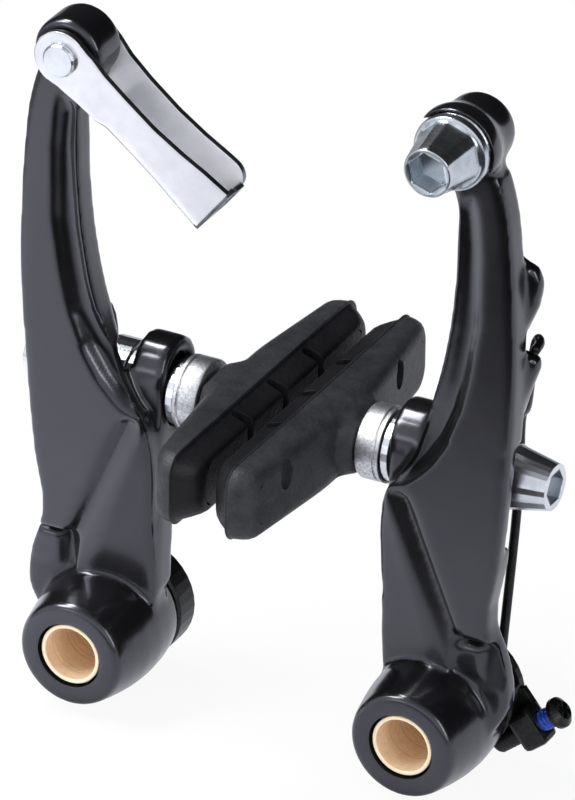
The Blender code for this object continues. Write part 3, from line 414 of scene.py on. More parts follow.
def rise(value, start, end):
    # 0 up to start and 1 from end on
    return np.clip((value - start) / (end - start), 0, 1)


def within(value, low, high, fade):
    # 1 between low and high, falling to 0 at both
    return rise(value, low, low + fade) * rise(value, high, high - fade)


def eased(share):
    return share * share * (3 - 2 * share)


def newPiece(name, vertices, faces, material, smooth=True):
    mesh = bpy.data.meshes.new(name)
    mesh.from_pydata([tuple(v) for v in vertices], [], [tuple(f) for f in faces])
    mesh.validate()
    if smooth:
        mesh.shade_smooth()
    if material is not None:
        mesh.materials.append(material)
    return linked(name, mesh)


def facedOutwards(piece, merge=0.0):
    # turns every face outwards, after joining points nearer to each other than merge
    form = bmesh.new()
    form.from_mesh(piece.data)
    if merge:
        bmesh.ops.remove_doubles(form, verts=form.verts, dist=merge)
    bmesh.ops.recalc_face_normals(form, faces=form.faces)
    form.to_mesh(piece.data)
    form.free()
    return piece


def rowFaces(rows, around):
    # the faces between rows of points, each row closed into a ring
    return [(i + j, i + (j + 1) % around, i + around + (j + 1) % around, i + around + j)
            for i in range(0, (rows - 1) * around, around) for j in range(around)]


def joinedRings(name, rings, around, material, sharp, closed=False):
    # a skin over rings of points, one after the other; a ring of a single point closes an end
    starts = np.cumsum([0] + [len(ring) for ring in rings]).tolist()
    rows = [(start, len(ring)) for start, ring in zip(starts, rings)]
    faces = []
    for (low, lowCount), (high, highCount) in zip(rows, rows[1:] + (rows[:1] if closed else [])):
        for j in range(around):
            k = (j + 1) % around
            corner = [low + j % lowCount, low + k % lowCount, high + k % highCount, high + j % highCount]
            faces.append(tuple(dict.fromkeys(corner)))
    piece = facedOutwards(newPiece(name, [point for ring in rings for point in ring], faces, material))
    piece.data.set_sharp_from_angle(angle=math.radians(sharp))
    return piece


def block(name, front, back, material):
    # a closed block between two outlines of as many points
    count = len(front)
    faces = [tuple(range(count)), tuple(reversed(range(count, 2 * count)))]
    faces += [(i, i + count, (i + 1) % count + count, (i + 1) % count) for i in range(count)]
    return facedOutwards(newPiece(name, [*front, *back], faces, material, smooth=False))


def bevelled(piece, width, angle):
    edges = piece.modifiers.new("edges", "BEVEL")
    edges.width = width
    edges.segments = 2
    edges.limit_method = "ANGLE"
    edges.angle_limit = math.radians(angle)


# Forgings: the arms with every edge rounded and every inside corner filled, as they leave the die
forging = {"grid": 0.38 * mm, "rounds": 12, "softness": 0.5, "merge": 0.002 * mm,
           "bore": 5.45 * mm, "topBore": {"left": 2.3 * mm, "right": 3.3 * mm}, "boreY": (-0.04, 0.01),
           # the sunk band's depth at the step and further in, and the pocket's depth
           "bandDepth": {"left": 0.6 * mm, "right": 0.3 * mm}, "bandFall": {"left": 0.6 * mm, "right": 0.25 * mm},
           "pocketDepth": 1.5 * mm, "pocketFill": (-14.9 * mm, -11.6 * mm),
           # in mm: the step's width, the rim's place from the inner edge, the heights where the rim and the
           # pocket come and go, and the band's foot, top and fade
           "stepWidth": 0.8, "rimFrom": (-1.5, -0.9), "rimShare": 0.85, "rimUp": (50, 56), "pocketUp": (60, 48),
           "band": (39.5, 92, 3),
           # the skin that is pushed: how far it faces forwards, and the depth that it starts from
           "facing": (0.2, 0.7), "skinFront": -12.2 * mm,
           # the sunk shoulder beside the boss, in mm: up from, to and outwards from, and its soft ends
           "shoulder": (7.5, 16.3, 3.8), "shoulderEnds": (0.6, 0.8), "shoulderDepth": 1.9 * mm,
           # the raised tab on the shoulder, in mm: outwards from, to, up from, to; and its soft edge
           "tab": {"left": (6.2, 13.2, 8.8, 15.6), "right": (2.4, 9.0, 8.8, 15.2)}, "tabEdge": 0.9,
           # smoothing of the whole skin, of the right arm's head, and of the ridge between web and face
           "skinRounds": 14, "headRounds": 110, "headFrom": 95.5 * mm, "headFade": 2 * mm,
           # the ridge in mm: up from, to and fade, outwards from, to and fade
           "ridgeRounds": 30, "ridgeUp": (11, 38, 2), "ridgeOut": (-7.5, 6, 1), "ridgeFront": -9 * mm}
# height, outer edge and inner edge of the sunk band, in mm outwards from the pivot
bandStations = [(39.5, -6.4, -8.9), (41, -4.4, -7.2), (43, -2.3, -5.8), (45, -0.5, -4.4), (49, 2.0, -2.8),
                (55, 4.4, -0.8), (61, 5.8, 0.9), (70, 7.2, 2.4), (83, 7.3, 3.3), (91, 6.6, 2.9)]
# the pocket above the eye, outwards and up in mm, filled before its hollow is sunk again
pocketOutline = [(6.0, 57), (0.6, 57), (-2.0, 50), (-3.6, 45), (-5.6, 41.5), (-7.2, 39.2), (-4.0, 38), (2.0, 44)]


def applied(piece):
    # the piece's shape with its modifiers made part of the mesh
    bpy.context.view_layer.update()
    depsgraph = bpy.context.evaluated_depsgraph_get()
    mesh = bpy.data.meshes.new_from_object(piece.evaluated_get(depsgraph))
    mesh.name = piece.name
    piece.modifiers.clear()
    old, piece.data = piece.data, mesh
    bpy.data.meshes.remove(old)


def addSlab(mesh, side, outline, front, back):
    # a closed slab over an outline seen from the front, joined to a mesh that is remeshed afterwards
    form = bmesh.new()
    form.from_mesh(mesh)
    rings = [[form.verts.new((side * (pivotX + x * mm), y, z * mm)) for x, z in outline] for y in (front, back)]
    for ring in rings:
        form.faces.new(ring)
    for i in range(len(outline)):
        form.faces.new((rings[0][i - 1], rings[0][i], rings[1][i], rings[1][i - 1]))
    bmesh.ops.recalc_face_normals(form, faces=form.faces)
    form.to_mesh(mesh)
    form.free()


def smoothed(piece, name, rounds, weights=None):
    # evens the skin, all of it or by a weight for each point
    smooth = piece.modifiers.new(name, "SMOOTH")
    smooth.factor = forging["softness"]
    smooth.iterations = rounds
    if weights is not None:
        group = piece.vertex_groups.new(name=name)
        for index in np.flatnonzero(weights).tolist():
            group.add([index], float(weights[index]), "REPLACE")
        smooth.vertex_group = name


def voxelled(piece, v):
    remesh = piece.modifiers.new("grid", "REMESH")
    remesh.mode = "VOXEL"
    remesh.voxel_size = v["grid"]
    smoothed(piece, "soft", v["rounds"])
    applied(piece)


def bored(piece, bars):
    for bar in bars:
        cutter = piece.modifiers.new(bar.name, "BOOLEAN")
        cutter.operation = "DIFFERENCE"
        cutter.solver = "EXACT"
        cutter.object = bar
    applied(piece)
    for bar in bars:
        bpy.data.objects.remove(bar)


def rowsOf(mesh, kind):
    # the places or the normals of a mesh's points, one row each
    rows = np.empty(len(mesh.vertices) * 3)
    mesh.vertices.foreach_get(kind, rows)
    return rows.reshape(-1, 3)


def sinkBand(mesh, side, label, v):
    # pushes the front skin back between the band's edges: a step at the outer edge, a fall, then a raised rim;
    # and sinks the shoulder beside the boss, deepest under its upper edge
    place, normal = rowsOf(mesh, "co"), rowsOf(mesh, "normal")
    out, high = (place[:, 0] * side - pivotX) / mm, place[:, 2] / mm
    heights, outers, inners = np.array(bandStations, float).T
    edge = np.interp(high, heights, outers)
    inside = edge - out
    width = edge - np.interp(high, heights, inners)
    step = eased(rise(inside, 0, v["stepWidth"]))
    rim = rise(inside - width, *v["rimFrom"]) * rise(high, *v["rimUp"])
    pocket = v["pocketDepth"] * eased(rise(high, *v["pocketUp"])) * np.sqrt(step)
    depth = (v["bandDepth"][label] + v["bandFall"][label] * np.clip(inside / width, 0, 1) + pocket) * step
    depth *= (1 - rim * v["rimShare"]) * within(high, *v["band"])
    low, top, inner = v["shoulder"]
    softTop, softSide = v["shoulderEnds"]
    shoulder = v["shoulderDepth"] * rise(high, low, top) * rise(high, top, top - softTop)
    outFrom, outTo, upFrom, upTo = v["tab"][label]
    tab = within(out, outFrom, outTo, v["tabEdge"]) * within(high, upFrom, upTo, v["tabEdge"])
    shoulder *= rise(out, inner, inner + softSide) * (1 - eased(tab))
    facing = rise(-normal[:, 1], *v["facing"]) * (place[:, 1] < v["skinFront"])
    place[:, 1] += (depth + shoulder) * facing
    mesh.vertices.foreach_set("co", place.ravel())
    mesh.update()


def softened(piece, side, v):
    # evens the whole skin a little, the ridge more, and the right arm's head far more, as it is in the photo
    x, y, z = rowsOf(piece.data, "co").T
    smoothed(piece, "skin", v["skinRounds"])
    ridge = within(z / mm, *v["ridgeUp"]) * within((x * side - pivotX) / mm, *v["ridgeOut"])
    smoothed(piece, "ridge", v["ridgeRounds"], ridge * (y < v["ridgeFront"]))
    if side > 0:
        smoothed(piece, "head", v["headRounds"], rise(z, v["headFrom"], v["headFrom"] + v["headFade"]))
    applied(piece)


def boreBar(name, node, radius, ends):
    # a closed cylinder through a node's middle from front to back, to cut a bore with
    x, y, z = middleOf(node)
    start, end = Vector((x, ends[0], z)), Vector((x, ends[1], z))
    turn = (end - start).to_track_quat("Z", "Y").to_matrix().to_4x4()
    form = bmesh.new()
    bmesh.ops.create_cone(form, cap_ends=True, segments=96, radius1=radius, radius2=radius,
                          depth=(end - start).length, matrix=Matrix.Translation((start + end) / 2) @ turn)
    mesh = bpy.data.meshes.new(name)
    form.to_mesh(mesh)
    form.free()
    return linked(name, mesh)


def finished(piece, material, angle=50):
    piece.data.shade_smooth()
    piece.data.set_sharp_from_angle(angle=math.radians(angle))
    piece.data.materials.clear()
    piece.data.materials.append(material)


for label, side in sides:
    arm = facedOutwards(linked(label + "Forging", nodes[label + "_arm"].data.copy()), forging["merge"])
    addSlab(arm.data, side, pocketOutline, *forging["pocketFill"])
    voxelled(arm, forging)
    sinkBand(arm.data, side, label, forging)
    softened(arm, side, forging)
    holder = "guide_rivet" if side < 0 else "anchor_bolt"
    bored(arm, [boreBar(label + "Bore", label + "_bushing", forging["bore"], forging["boreY"]),
                boreBar(label + "TopBore", holder, forging["topBore"][label], forging["boreY"])])
    finished(arm, armPaint)
    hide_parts(label + "_arm")
    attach(arm, label + "_arm")
    print(label, "forging ready,", len(arm.data.polygons), "faces")


# Pads: outlines in the plane of the rim, one behind the other, from the friction face to the back
padShape = {"halfLength": 30.78 * mm, "halfHeight": 6.18 * mm, "corner": 3.5 * mm, "cornerLoss": 0.35,
            "faceSteps": 12, "faceCorners": (0.8 * mm, 1.2 * mm), "merge": 0.01 * mm,
            # the back beyond the mould line, flat in the middle and then thinner by a slope in degrees
            "mouldLine": 4.72 * mm, "back": 6.38 * mm, "flat": 9.0 * mm, "taper": 7.3, "taperSoft": 2 * mm,
            # the collar's height, its radius from full to nothing, and the levels that it grows between
            "collar": 2.28 * mm, "collarFall": (7.0 * mm, 5.4 * mm), "collarLevels": (9.5 * mm, 11.08 * mm),
            "dimples": (-20.0 * mm, 16.5 * mm), "dimpleUp": 2.4 * mm, "dimpleSize": (2.4 * mm, 1.6 * mm, 2.5 * mm),
            "dimpleOut": 10.95 * mm, "dimpleSlope": 0.13,
            "grooves": (-11.5 * mm, 0.0, 11.5 * mm), "grooveHalf": 0.95 * mm, "grooveDepth": 3.1 * mm,
            "grooveFrom": 1.1 * mm, "grooveUp": 8 * mm}
# distance from the wheel's middle plane, inset of the height and inset of the length, in mm
padLevels = [(1.10, 2.3, 5.2), (1.14, 1.95, 4.4), (1.35, 1.65, 3.6), (1.9, 1.4, 2.7), (2.9, 1.08, 1.75),
             (3.9, 0.75, 1.05), (4.55, 0.5, 0.6), (4.64, 0.45, 0.55), (4.74, 0.1, 0.1), (4.8, 0.0, 0.0),
             (4.98, 0.0, 0.0), (5.08, 0.14, 0.14), (6.0, 0.17, 0.2), (7.5, 0.22, 0.4), (9.0, 0.32, 0.8),
             (9.8, 0.55, 1.2), (10.45, 0.95, 1.8), (10.85, 1.5, 2.5), (11.08, 2.3, 3.4)]


def roundedOutline(half, up, corner, along=120, high=14, arc=8):
    # a rectangle of half sizes half and up with corners of the radius, the same count of points each time
    corner = max(min(corner, half, up), 0)
    arcs = []
    for turn, (toY, toZ) in enumerate(((1, 1), (-1, 1), (-1, -1), (1, -1))):
        arcs.append([(toY * (half - corner) + corner * math.cos(a), toZ * (up - corner) + corner * math.sin(a))
                     for a in np.linspace(math.pi / 2 * turn, math.pi / 2 * (turn + 1), arc + 1)])
    points = []
    for before, after, count in zip(arcs, arcs[1:] + arcs[:1], (along, high, along, high)):
        points += before + np.linspace(before[-1], after[0], count + 1)[1:-1].tolist()
    return points


def shoeMesh(name, side, v):
    # the friction face from its middle out, the levels, and the back from its edge in
    half, up, steps = v["halfLength"], v["halfHeight"], v["faceSteps"]
    rings = [(u * mm, half - insetY * mm, up - insetZ * mm, v["corner"] - v["cornerLoss"] * insetZ * mm)
             for u, insetZ, insetY in padLevels]
    for (u, along, high, _), corner, ahead in ((rings[0], v["faceCorners"][0], True),
                                               (rings[-1], v["faceCorners"][1], False)):
        for i in range(1, steps + 1):
            ring = (u, along - high * i / steps, high - high * i / steps, corner)
            rings.insert(0 if ahead else len(rings), ring)
    points = []
    for u, along, high, corner in rings:
        for y, z in roundedOutline(along, max(high, 0), corner):
            # the back thins towards both ends and swells into the collar round the stud
            out = u
            if u > v["mouldLine"]:
                run = abs(y) - v["flat"]
                thin = math.tan(math.radians(v["taper"])) * (run + math.hypot(run, v["taperSoft"])) / 2
                out = v["mouldLine"] + (u - v["mouldLine"]) * (1 - thin / v["back"])
                near = eased(rise(math.hypot(y, z), *v["collarFall"]))
                out += v["collar"] * near * rise(u, *v["collarLevels"])
            points.append((side * out, postY + y, postZ + z))
    faces = rowFaces(len(rings), len(points) // len(rings))
    return facedOutwards(newPiece(name, points, faces, None), v["merge"])


def grooveTool(name, side, along, v):
    # a slot with a round bottom, open at the friction face, top and bottom
    half, bottom = v["grooveHalf"], v["grooveFrom"] + v["grooveDepth"]
    outline = [(0.0, -half), (0.0, half)]
    outline += [(bottom - half + half * math.cos(a), half * math.sin(a))
                for a in np.linspace(math.pi / 2, -math.pi / 2, 13)]
    ends = [[(side * u, postY + along + y, postZ + z) for u, y in outline] for z in (-v["grooveUp"], v["grooveUp"])]
    return block(name, *ends, None)


def ovalTool(name, centre, size, around=36, over=18):
    # a sphere stretched to three half sizes
    rings = []
    for i in range(over + 1):
        a = math.pi * i / over
        turns = np.arange(around if 0 < i < over else 1) * 2 * math.pi / around
        rings.append([(centre[0] + size[0] * math.sin(a) * math.cos(b),
                       centre[1] + size[1] * math.sin(a) * math.sin(b), centre[2] + size[2] * math.cos(a))
                      for b in turns])
    return joinedRings(name, rings, around, None, 180)


for label, side in sides:
    pad = shoeMesh(label + "Shoe", side, padShape)
    tools = []
    for number, along in enumerate(padShape["dimples"]):
        out = padShape["dimpleOut"] - padShape["dimpleSlope"] * max(abs(along) - padShape["flat"], 0)
        tools.append(ovalTool(f"{label}Dimple{number}", (side * out, postY + along, postZ + padShape["dimpleUp"]),
                              padShape["dimpleSize"]))
    for number, along in enumerate(padShape["grooves"]):
        tools.append(grooveTool(f"{label}Groove{number}", side, along, padShape))
    bored(pad, tools)
    finished(pad, padRubber, 32)
    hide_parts(label + "_brake_pad")
    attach(pad, label + "_pad")
    print(label, "shoe ready,", len(pad.data.polygons), "faces")


# Bushings: a tube with a turned face, pale with a painted highlight, and rounded edges
bushingShape = {"outer": 5.06 * mm, "inner": 4.4 * mm, "recess": 0.55 * mm, "edge": 0.14 * mm, "backGap": 0.01 * mm}
# the middle point of a rounded edge lies this share of the edge's size from both of its sides
roundShare = 0.3


def ringAbout(centre, axis, along, radii):
    # points about an axis at a distance along it, one for each radius
    first = axis.orthogonal().normalized()
    second = axis.cross(first)
    angles = np.arange(len(radii)) * 2 * math.pi / len(radii)
    return [centre + axis * along + (first * math.cos(a) + second * math.sin(a)) * radius
            for a, radius in zip(angles, radii)]


def turnedPiece(name, profile, centre, axis, material, around=96, sharp=50):
    # the (radius, distance along the axis) pairs of a closed profile turned about the axis
    rings = [ringAbout(Vector(centre), Vector(axis), along, [radius] * around) for radius, along in profile]
    return joinedRings(name, rings, around, material, sharp, closed=True)


for label, _ in sides:
    v = bushingShape
    x, y, z = middleOf(label + "_bushing")
    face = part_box(label + "_arm")[0][1] + v["recess"]
    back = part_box(label + "_bushing")[1][1] - v["backGap"]
    e, s = v["edge"], v["edge"] * roundShare
    profile = [(v["inner"], back), (v["inner"], face + e), (v["inner"] + s, face + s), (v["inner"] + e, face),
               (v["outer"] - e, face), (v["outer"] - s, face + s), (v["outer"], face + e), (v["outer"], back)]
    tubePiece = turnedPiece(label + "Bushing", profile, (x, 0, z), (0, 1, 0), bushingBronze)
    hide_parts(label + "_bushing")
    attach(tubePiece, "frame_side")
print("bushings ready")


# Spacers: smooth grained sleeves with a groove near the arm and a spherical cup towards the eye
spacerShape = {"bore": 3.05 * mm, "sphere": 7.03 * mm, "edge": 0.35 * mm, "groove": 0.2 * mm, "grooveAt": 0.8 * mm,
               "rim": 0.3 * mm, "cupRings": 8}

for label, side in sides:
    low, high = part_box(label + "_thick_cup_washer")
    v = spacerShape
    radius = (high[2] - low[2]) / 2
    # distances from the wheel's middle plane: near is towards the eye, far towards the pad
    near, far = (high[0], low[0]) if side > 0 else (-low[0], -high[0])
    middle = near + math.sqrt(v["sphere"] ** 2 - (radius - v["rim"]) ** 2)
    cup = [(q, middle - math.sqrt(v["sphere"] ** 2 - q ** 2))
           for q in np.linspace(v["bore"], radius - v["rim"], v["cupRings"])]
    e, s, g, at = v["edge"], v["edge"] * roundShare, v["groove"], near - v["grooveAt"]
    profile = cup + [(radius, near - 0.02 * mm), (radius, at + g), (radius - g, at), (radius, at - g),
                     (radius, far + e), (radius - s, far + s), (radius - e, far), (v["bore"], far)]
    centre = (0.0, *middleOf(label + "_thick_cup_washer")[1:])
    sleeve = turnedPiece(label + "Spacer", profile, centre, (side, 0, 0), spacerZinc, sharp=25)
    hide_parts(label + "_thick_cup_washer")
    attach(sleeve, label + "_pad_clamp")
print("spacers ready")


# Anchor bolt: a flange, a cone with six flats and a round end, and a hexagon socket
boltShape = {"seat": -17.62 * mm, "flange": 6.1 * mm, "flangeThick": 1.5 * mm, "end": -26.28 * mm,
             "shank": 2.98 * mm, "tailGap": 0.01 * mm, "coneBase": 5.3 * mm, "coneEnd": 3.95 * mm,
             "flatBase": 4.95 * mm, "flatEnd": 3.72 * mm, "coneGap": 0.3 * mm, "coneRings": 13,
             "socket": 2.75 * mm, "socketDepth": 3.6 * mm, "chamfer": 0.3 * mm, "rim": 0.25 * mm, "turn": 12.0}


def boltSurface(name, centre, tail, v, material, around=144):
    # rows of (y, round radius, distance of the six flats from the axis, far where there are none); the radius
    # at an angle is the smaller of the round one and flat / cos(angle from the nearest flat's middle)
    seat, end, rim, face = v["seat"], v["end"], v["rim"], v["seat"] - v["flangeThick"]
    far = 99 * mm
    rows = [(tail, 0.0, far), (tail, v["shank"] - rim, far), (tail - rim, v["shank"], far),
            (seat, v["shank"], far), (seat, v["flange"] - rim, far), (seat - rim, v["flange"], far),
            (face + 2 * rim, v["flange"], far), (face + 0.6 * rim, v["flange"] - 0.5 * rim, far),
            (face, v["flange"] - 1.6 * rim, far), (face - 0.02 * mm, v["coneBase"] + 0.2 * mm, far)]
    rows += zip(np.linspace(face - v["coneGap"], end + rim, v["coneRings"]),
                np.linspace(v["coneBase"], v["coneEnd"], v["coneRings"]),
                np.linspace(v["flatBase"], v["flatEnd"], v["coneRings"]))
    rows += [(end + 0.3 * rim, v["coneEnd"] - 0.35 * rim, far), (end, v["coneEnd"] - rim, far),
             (end, v["socket"] * 1.16 + v["chamfer"] / 2, far)]
    for deep in (0.12 * mm, v["chamfer"], v["socketDepth"] * 0.5, v["socketDepth"]):
        flat = v["socket"] + max(v["chamfer"] - deep, 0) * 0.5
        rows.append((end + deep, flat * 1.155, flat))
    bottom = end + v["socketDepth"]
    rows += [(bottom + 0.02 * mm, v["socket"] * 0.9, far), (bottom + 0.8 * mm, 0.0, far)]
    rings = []
    for y, radius, flat in rows:
        ring = []
        for a in np.arange(around if radius > 0 else 1) * 2 * math.pi / around:
            reach = min(radius, flat / math.cos((a + math.pi / 6) % (math.pi / 3) - math.pi / 6))
            turned = a + math.radians(v["turn"])
            ring.append((centre[0] + reach * math.cos(turned), y, centre[2] + reach * math.sin(turned)))
        rings.append(ring)
    return joinedRings(name, rings, around, material, 22)


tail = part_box("anchor_bolt")[1][1] - boltShape["tailGap"]
headBolt = boltSurface("headBolt", middleOf("anchor_bolt"), tail, boltShape, boltZinc)
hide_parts("anchor_bolt")
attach(headBolt, "right_arm")
print("anchor bolt ready")


# Adjusting screws: a helical thread on the shank, with a band of blue thread lock under the head
screwShape = {"root": 1.52 * mm, "crest": 1.74 * mm, "pitch": 0.7 * mm, "around": 48, "rowsPerTurn": 10,
              "endSink": 0.1 * mm, "tilt": 39.0, "lugOut": 11.9 * mm, "lugDrop": 3.7 * mm, "lugY": -2.45 * mm,
              "lugHalf": 2.3 * mm, "outs": {"left": 1.2 * mm, "right": 3.2 * mm},
              # back from the head's seat: the band's ends and the bare thread's ends; and how far into the lug
              "band": (3.0 * mm, 0.05 * mm), "thread": (12.4 * mm, 3.1 * mm), "intoLug": 0.6 * mm}


def threadSleeve(name, origin, axis, start, end, v, material):
    # radius = root + (crest - root) * |2 * frac(height / pitch - turn) - 1|, about the screw's axis
    rows = max(int((end - start) / (v["pitch"] / v["rowsPerTurn"])), 4) + 1
    turns, heights = np.arange(v["around"]) / v["around"], np.linspace(start, end, rows)
    wave = np.abs(2 * np.mod(heights[:, None] / v["pitch"] - turns, 1.0) - 1)
    radii = v["root"] + (v["crest"] - v["root"]) * wave
    radii[0] = radii[-1] = v["root"] - v["endSink"]
    points = [point for height, row in zip(heights, radii) for point in ringAbout(origin, axis, height, row)]
    return newPiece(name, points, rowFaces(rows, v["around"]), material)


for label, side in sides:
    v = screwShape
    tilt = math.radians(v["tilt"])
    axis = Vector((side * math.cos(tilt), 0, math.sin(tilt)))
    origin = Vector((side * (pivotX + v["lugOut"]), v["lugY"], -v["lugDrop"]))
    seat = v["lugHalf"] + v["outs"][label]
    band = threadSleeve(label + "LockBand", origin, axis, max(v["lugHalf"] - v["intoLug"], seat - v["band"][0]),
                        seat - v["band"][1], v, lockBlue)
    thread = threadSleeve(label + "ScrewThread", origin, axis, seat - v["thread"][0], seat - v["thread"][1], v,
                          carrierSteel)
    for piece in (band, thread):
        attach(piece, label + "_adjuster")
print("screw threads ready")


# Cable guide: one strip folded to a channel, with thin cut edges, ears round the rivet and a keyhole in its end
guideShape = {"rivet": (-32.6 * mm, 100.4 * mm), "slope": 38.5, "front": -19.75 * mm, "back": -9.95 * mm,
              "sheet": 1.0 * mm, "length": 32.2 * mm, "ear": 4.55 * mm, "tip": 3.2 * mm, "tipFall": 0.9,
              "edge": 0.22 * mm, "floorFrom": 9.4 * mm, "corner": 1.5 * mm, "cornerGrows": 2.5 * mm}
# along the guide from the rivet: its upper edge in front, its upper edge behind, and its lower edge, in mm
guideEdges = [(-4.55, 0.0, 0.0, 0.0), (1.35, 4.6, 4.6, -4.2), (6.4, 3.8, 3.3, -3.5), (11, 3.65, 2.9, -3.15),
              (17.5, 3.65, 2.8, -3.1), (23, 4.2, 3.2, -3.2), (27.4, 4.9, 3.8, -3.5), (32.2, 5.4, 4.3, -3.8)]


def onGuide(v, along, outline):
    # points (depth, up) of an outline square to the guide, at a distance along it from the rivet
    slope = math.radians(v["slope"])
    return [(v["rivet"][0] + along * math.cos(slope) + up * math.sin(slope), deep,
             v["rivet"][1] - along * math.sin(slope) + up * math.cos(slope)) for deep, up in outline]


def guideSheet(name, v, material, wall=12, turn=6, flat=8):
    # each line runs down the front wall, along the floor and up the back wall, with a round corner between them
    table = np.array(guideEdges, float).T * mm
    ear, tip = v["ear"], v["length"] - v["tip"]
    stations = np.concatenate([np.linspace(-ear * 0.999, ear, 25), np.linspace(ear, tip, 38)[1:],
                               tip + v["tip"] * np.sin(np.linspace(0, math.pi / 2, 12)[1:])])
    front, back = v["front"] + v["sheet"] / 2, v["back"] - v["sheet"] / 2
    points = []
    for along in stations:
        upFront, upBack, low = (float(np.interp(along, table[0], edge)) for edge in table[1:])
        if along < ear * 0.7:
            # the round ear about the rivet runs into the walls
            reach = math.sqrt(max(ear ** 2 - along ** 2, 0))
            share = rise(along, ear * 0.1, ear * 0.7)
            upFront, upBack, low = (r * (1 - share) + e * share
                                    for r, e in ((reach, upFront), (reach, upBack), (-reach, low)))
        past = max(along - tip, 0)
        upBack -= v["tipFall"] * (v["tip"] - math.sqrt(max(v["tip"] ** 2 - past ** 2, 0)))
        corner = v["corner"] * max(rise(along, v["floorFrom"], v["floorFrom"] + v["cornerGrows"]), 0.02)
        bend = [(corner * (1 - math.cos(a)), corner * (1 - math.sin(a)))
                 for a in np.linspace(0, math.pi / 2, turn + 1)]
        line = [(front, up) for up in np.linspace(upFront, low + corner, wall)]
        line += [(front + inwards, low + rest) for inwards, rest in bend[1:]]
        line += [(deep, low) for deep in np.linspace(front + corner, back - corner, flat + 1)[1:-1]]
        line += [(back - inwards, low + rest) for inwards, rest in bend[:0:-1]]
        line += [(back, up) for up in np.linspace(low + corner, upBack, wall)]
        points.append(onGuide(v, along, line))
    columns = len(points[0])
    faces = []
    for i in range(len(stations) - 1):
        for j in range(columns - 1):
            inFloor = wall - 1 <= j < columns - wall
            if inFloor and stations[i] < v["floorFrom"]:
                continue
            a = i * columns + j
            faces.append((a, a + 1, a + columns + 1, a + columns))
    piece = newPiece(name, [p for line in points for p in line], faces, material)
    solid = piece.modifiers.new("sheet", "SOLIDIFY")
    solid.thickness = v["sheet"]
    solid.offset = 0
    solid.use_even_offset = True
    solid.material_offset_rim = 1
    bevelled(piece, v["edge"], 50)
    return piece


def guideEnd(name, v, w, material):
    # the end wall: a plate across the guide with a keyhole that is open at the top
    front, back = v["front"] + w["clear"], v["back"] - w["clear"]
    middle = (front + back) / 2
    outline = [(front, w["foot"]), (back, w["foot"]), *((back - inwards, up) for inwards, up in w["shoulder"]),
               (middle + w["slotHalf"], w["slotBack"])]
    outline += [(middle + w["hole"] * math.cos(a), w["holeUp"] + w["hole"] * math.sin(a))
                for a in np.radians(np.linspace(*w["holeArc"], 13))]
    outline += [(middle - w["slotHalf"], w["slotFront"]), (front, w["top"])]
    piece = block(name, *(onGuide(v, v["length"] + along, outline) for along in w["thick"]), material)
    bevelled(piece, w["edge"], 40)
    return piece


# the end wall: heights above the guide's line, and its back edge as (inwards, up)
endShape = {"clear": 0.15 * mm, "foot": -3.4 * mm, "top": 5.0 * mm, "thick": (-0.5 * mm, 0.4 * mm), "edge": 0.2 * mm,
            "shoulder": ((0.0, 0.6 * mm), (0.25 * mm, 1.5 * mm), (0.9 * mm, 2.3 * mm)),
            "hole": 2.2 * mm, "holeUp": 0.6 * mm, "holeArc": (55, -235), "slotHalf": 1.25 * mm,
            "slotBack": 2.6 * mm, "slotFront": 4.2 * mm}
guide = guideSheet("guideSheet", guideShape, guideZinc)
# the end wall takes the dark steel finish as painted shade; the sheet's rims take it as cut edges
guideCap = guideEnd("guideEnd", guideShape, endShape, cutSteel)
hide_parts("cable_guide")
guide.data.materials.append(cutSteel)
for piece in (guide, guideCap):
    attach(piece, "guide")
print("guide ready")


# Return springs: a smooth wire through the coil and the leg, bent between the frame and the arm
springShape = {"wire": 0.75 * mm, "coil": 6.9 * mm, "turns": 1.25, "knotsPerTurn": 20, "pathSteps": 5,
               "rear": -2.35 * mm, "rise": 1.62 * mm, "bendFrom": 10 * mm, "bendTo": 60 * mm}
# the leg outwards from the pivot, back and up, in mm
springLeg = [(7.0, -4.1, 4.5), (7.0, -3.4, 9.0), (6.4, 1.9, 32.1), (6.6, 1.95, 46.2), (9.0, -1.0, 51.2),
             (12.0, -5.4, 63.0), (13.2, -6.6, 66.05), (14.1, -7.8, 66.05), (14.5, -10.1, 66.05)]


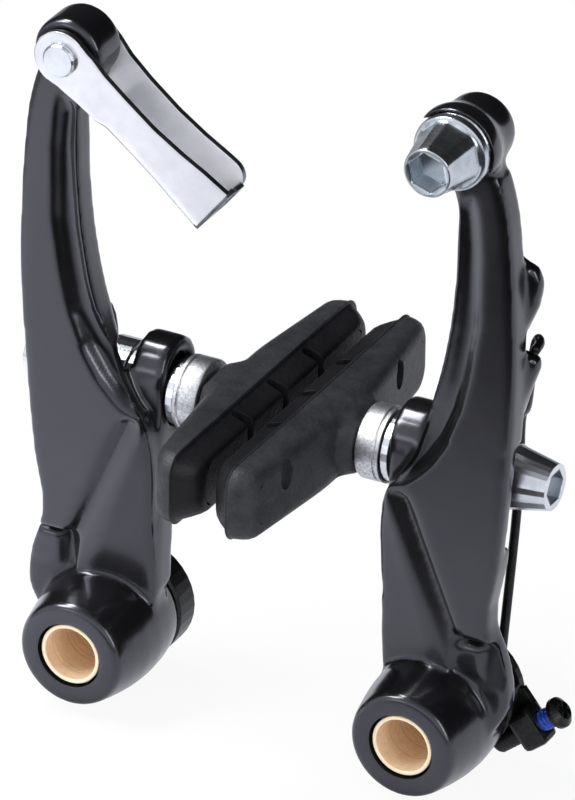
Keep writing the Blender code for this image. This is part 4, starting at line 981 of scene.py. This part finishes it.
def smoothPath(points, steps):
    # Catmull-Rom: 0.5 (2 b + (c - a) t + (2 a - 5 b + 4 c - d) t^2 + (3 b - a - 3 c + d) t^3)
    points = np.array(points)
    p = np.vstack([2 * points[0] - points[1], points, 2 * points[-1] - points[-2]])
    t = (np.arange(steps) / steps)[:, None]
    parts = [0.5 * (2 * b + (c - a) * t + (2 * a - 5 * b + 4 * c - d) * t ** 2 + (3 * b - a - 3 * c + d) * t ** 3)
             for a, b, c, d in zip(p[:-3], p[1:-2], p[2:-1], p[3:])]
    return np.vstack(parts + [points[-1:]])


def tube(name, path, radius, material, around=16):
    # circles of the radius square to the path, carried along it without twisting, with rounded ends
    tangent = np.gradient(path, axis=0)
    tangent /= np.linalg.norm(tangent, axis=1)[:, None]
    across = np.cross(tangent[0], (0, 0, 1.0))
    angle = np.arange(around) * 2 * math.pi / around
    # the rounded ends' circles: how far beyond the path they lie and how wide they are, in radii
    ends = [(0.5 * math.sqrt(1 - swell ** 2), swell) for swell in (0.8, 0.35)]
    lines = []
    for number, (point, along) in enumerate(zip(path, tangent)):
        across = across - along * (across @ along)
        across /= np.linalg.norm(across)
        ring = np.outer(np.cos(angle), across) + np.outer(np.sin(angle), np.cross(along, across))
        places = [(0, 1)]
        if number == 0:
            places = [(-beyond, swell) for beyond, swell in reversed(ends)] + places
        if number == len(path) - 1:
            places = places + ends
        lines += [point + along * radius * beyond + ring * radius * swell for beyond, swell in places]
    count = len(lines)
    faces = rowFaces(count, around)
    faces += [tuple(reversed(range(around))), tuple(range((count - 1) * around, count * around))]
    return newPiece(name, np.vstack(lines), faces, material)


for label, side in sides:
    v = springShape
    total = round(v["turns"] * v["knotsPerTurn"])
    knots = []
    for number in range(total + 1):
        a = 2 * math.pi * (number - total) / v["knotsPerTurn"]
        knots.append((side * (pivotX + v["coil"] * math.cos(a)), v["rear"] - v["rise"] * number / v["knotsPerTurn"],
                      v["coil"] * math.sin(a)))
    knots += [(side * (pivotX + x * mm), y * mm, z * mm) for x, y, z in springLeg]
    wire = tube(label + "Spring", smoothPath(knots, v["pathSteps"]), v["wire"], springSteel)
    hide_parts(label + "_return_spring")
    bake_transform(wire)
print("springs ready")
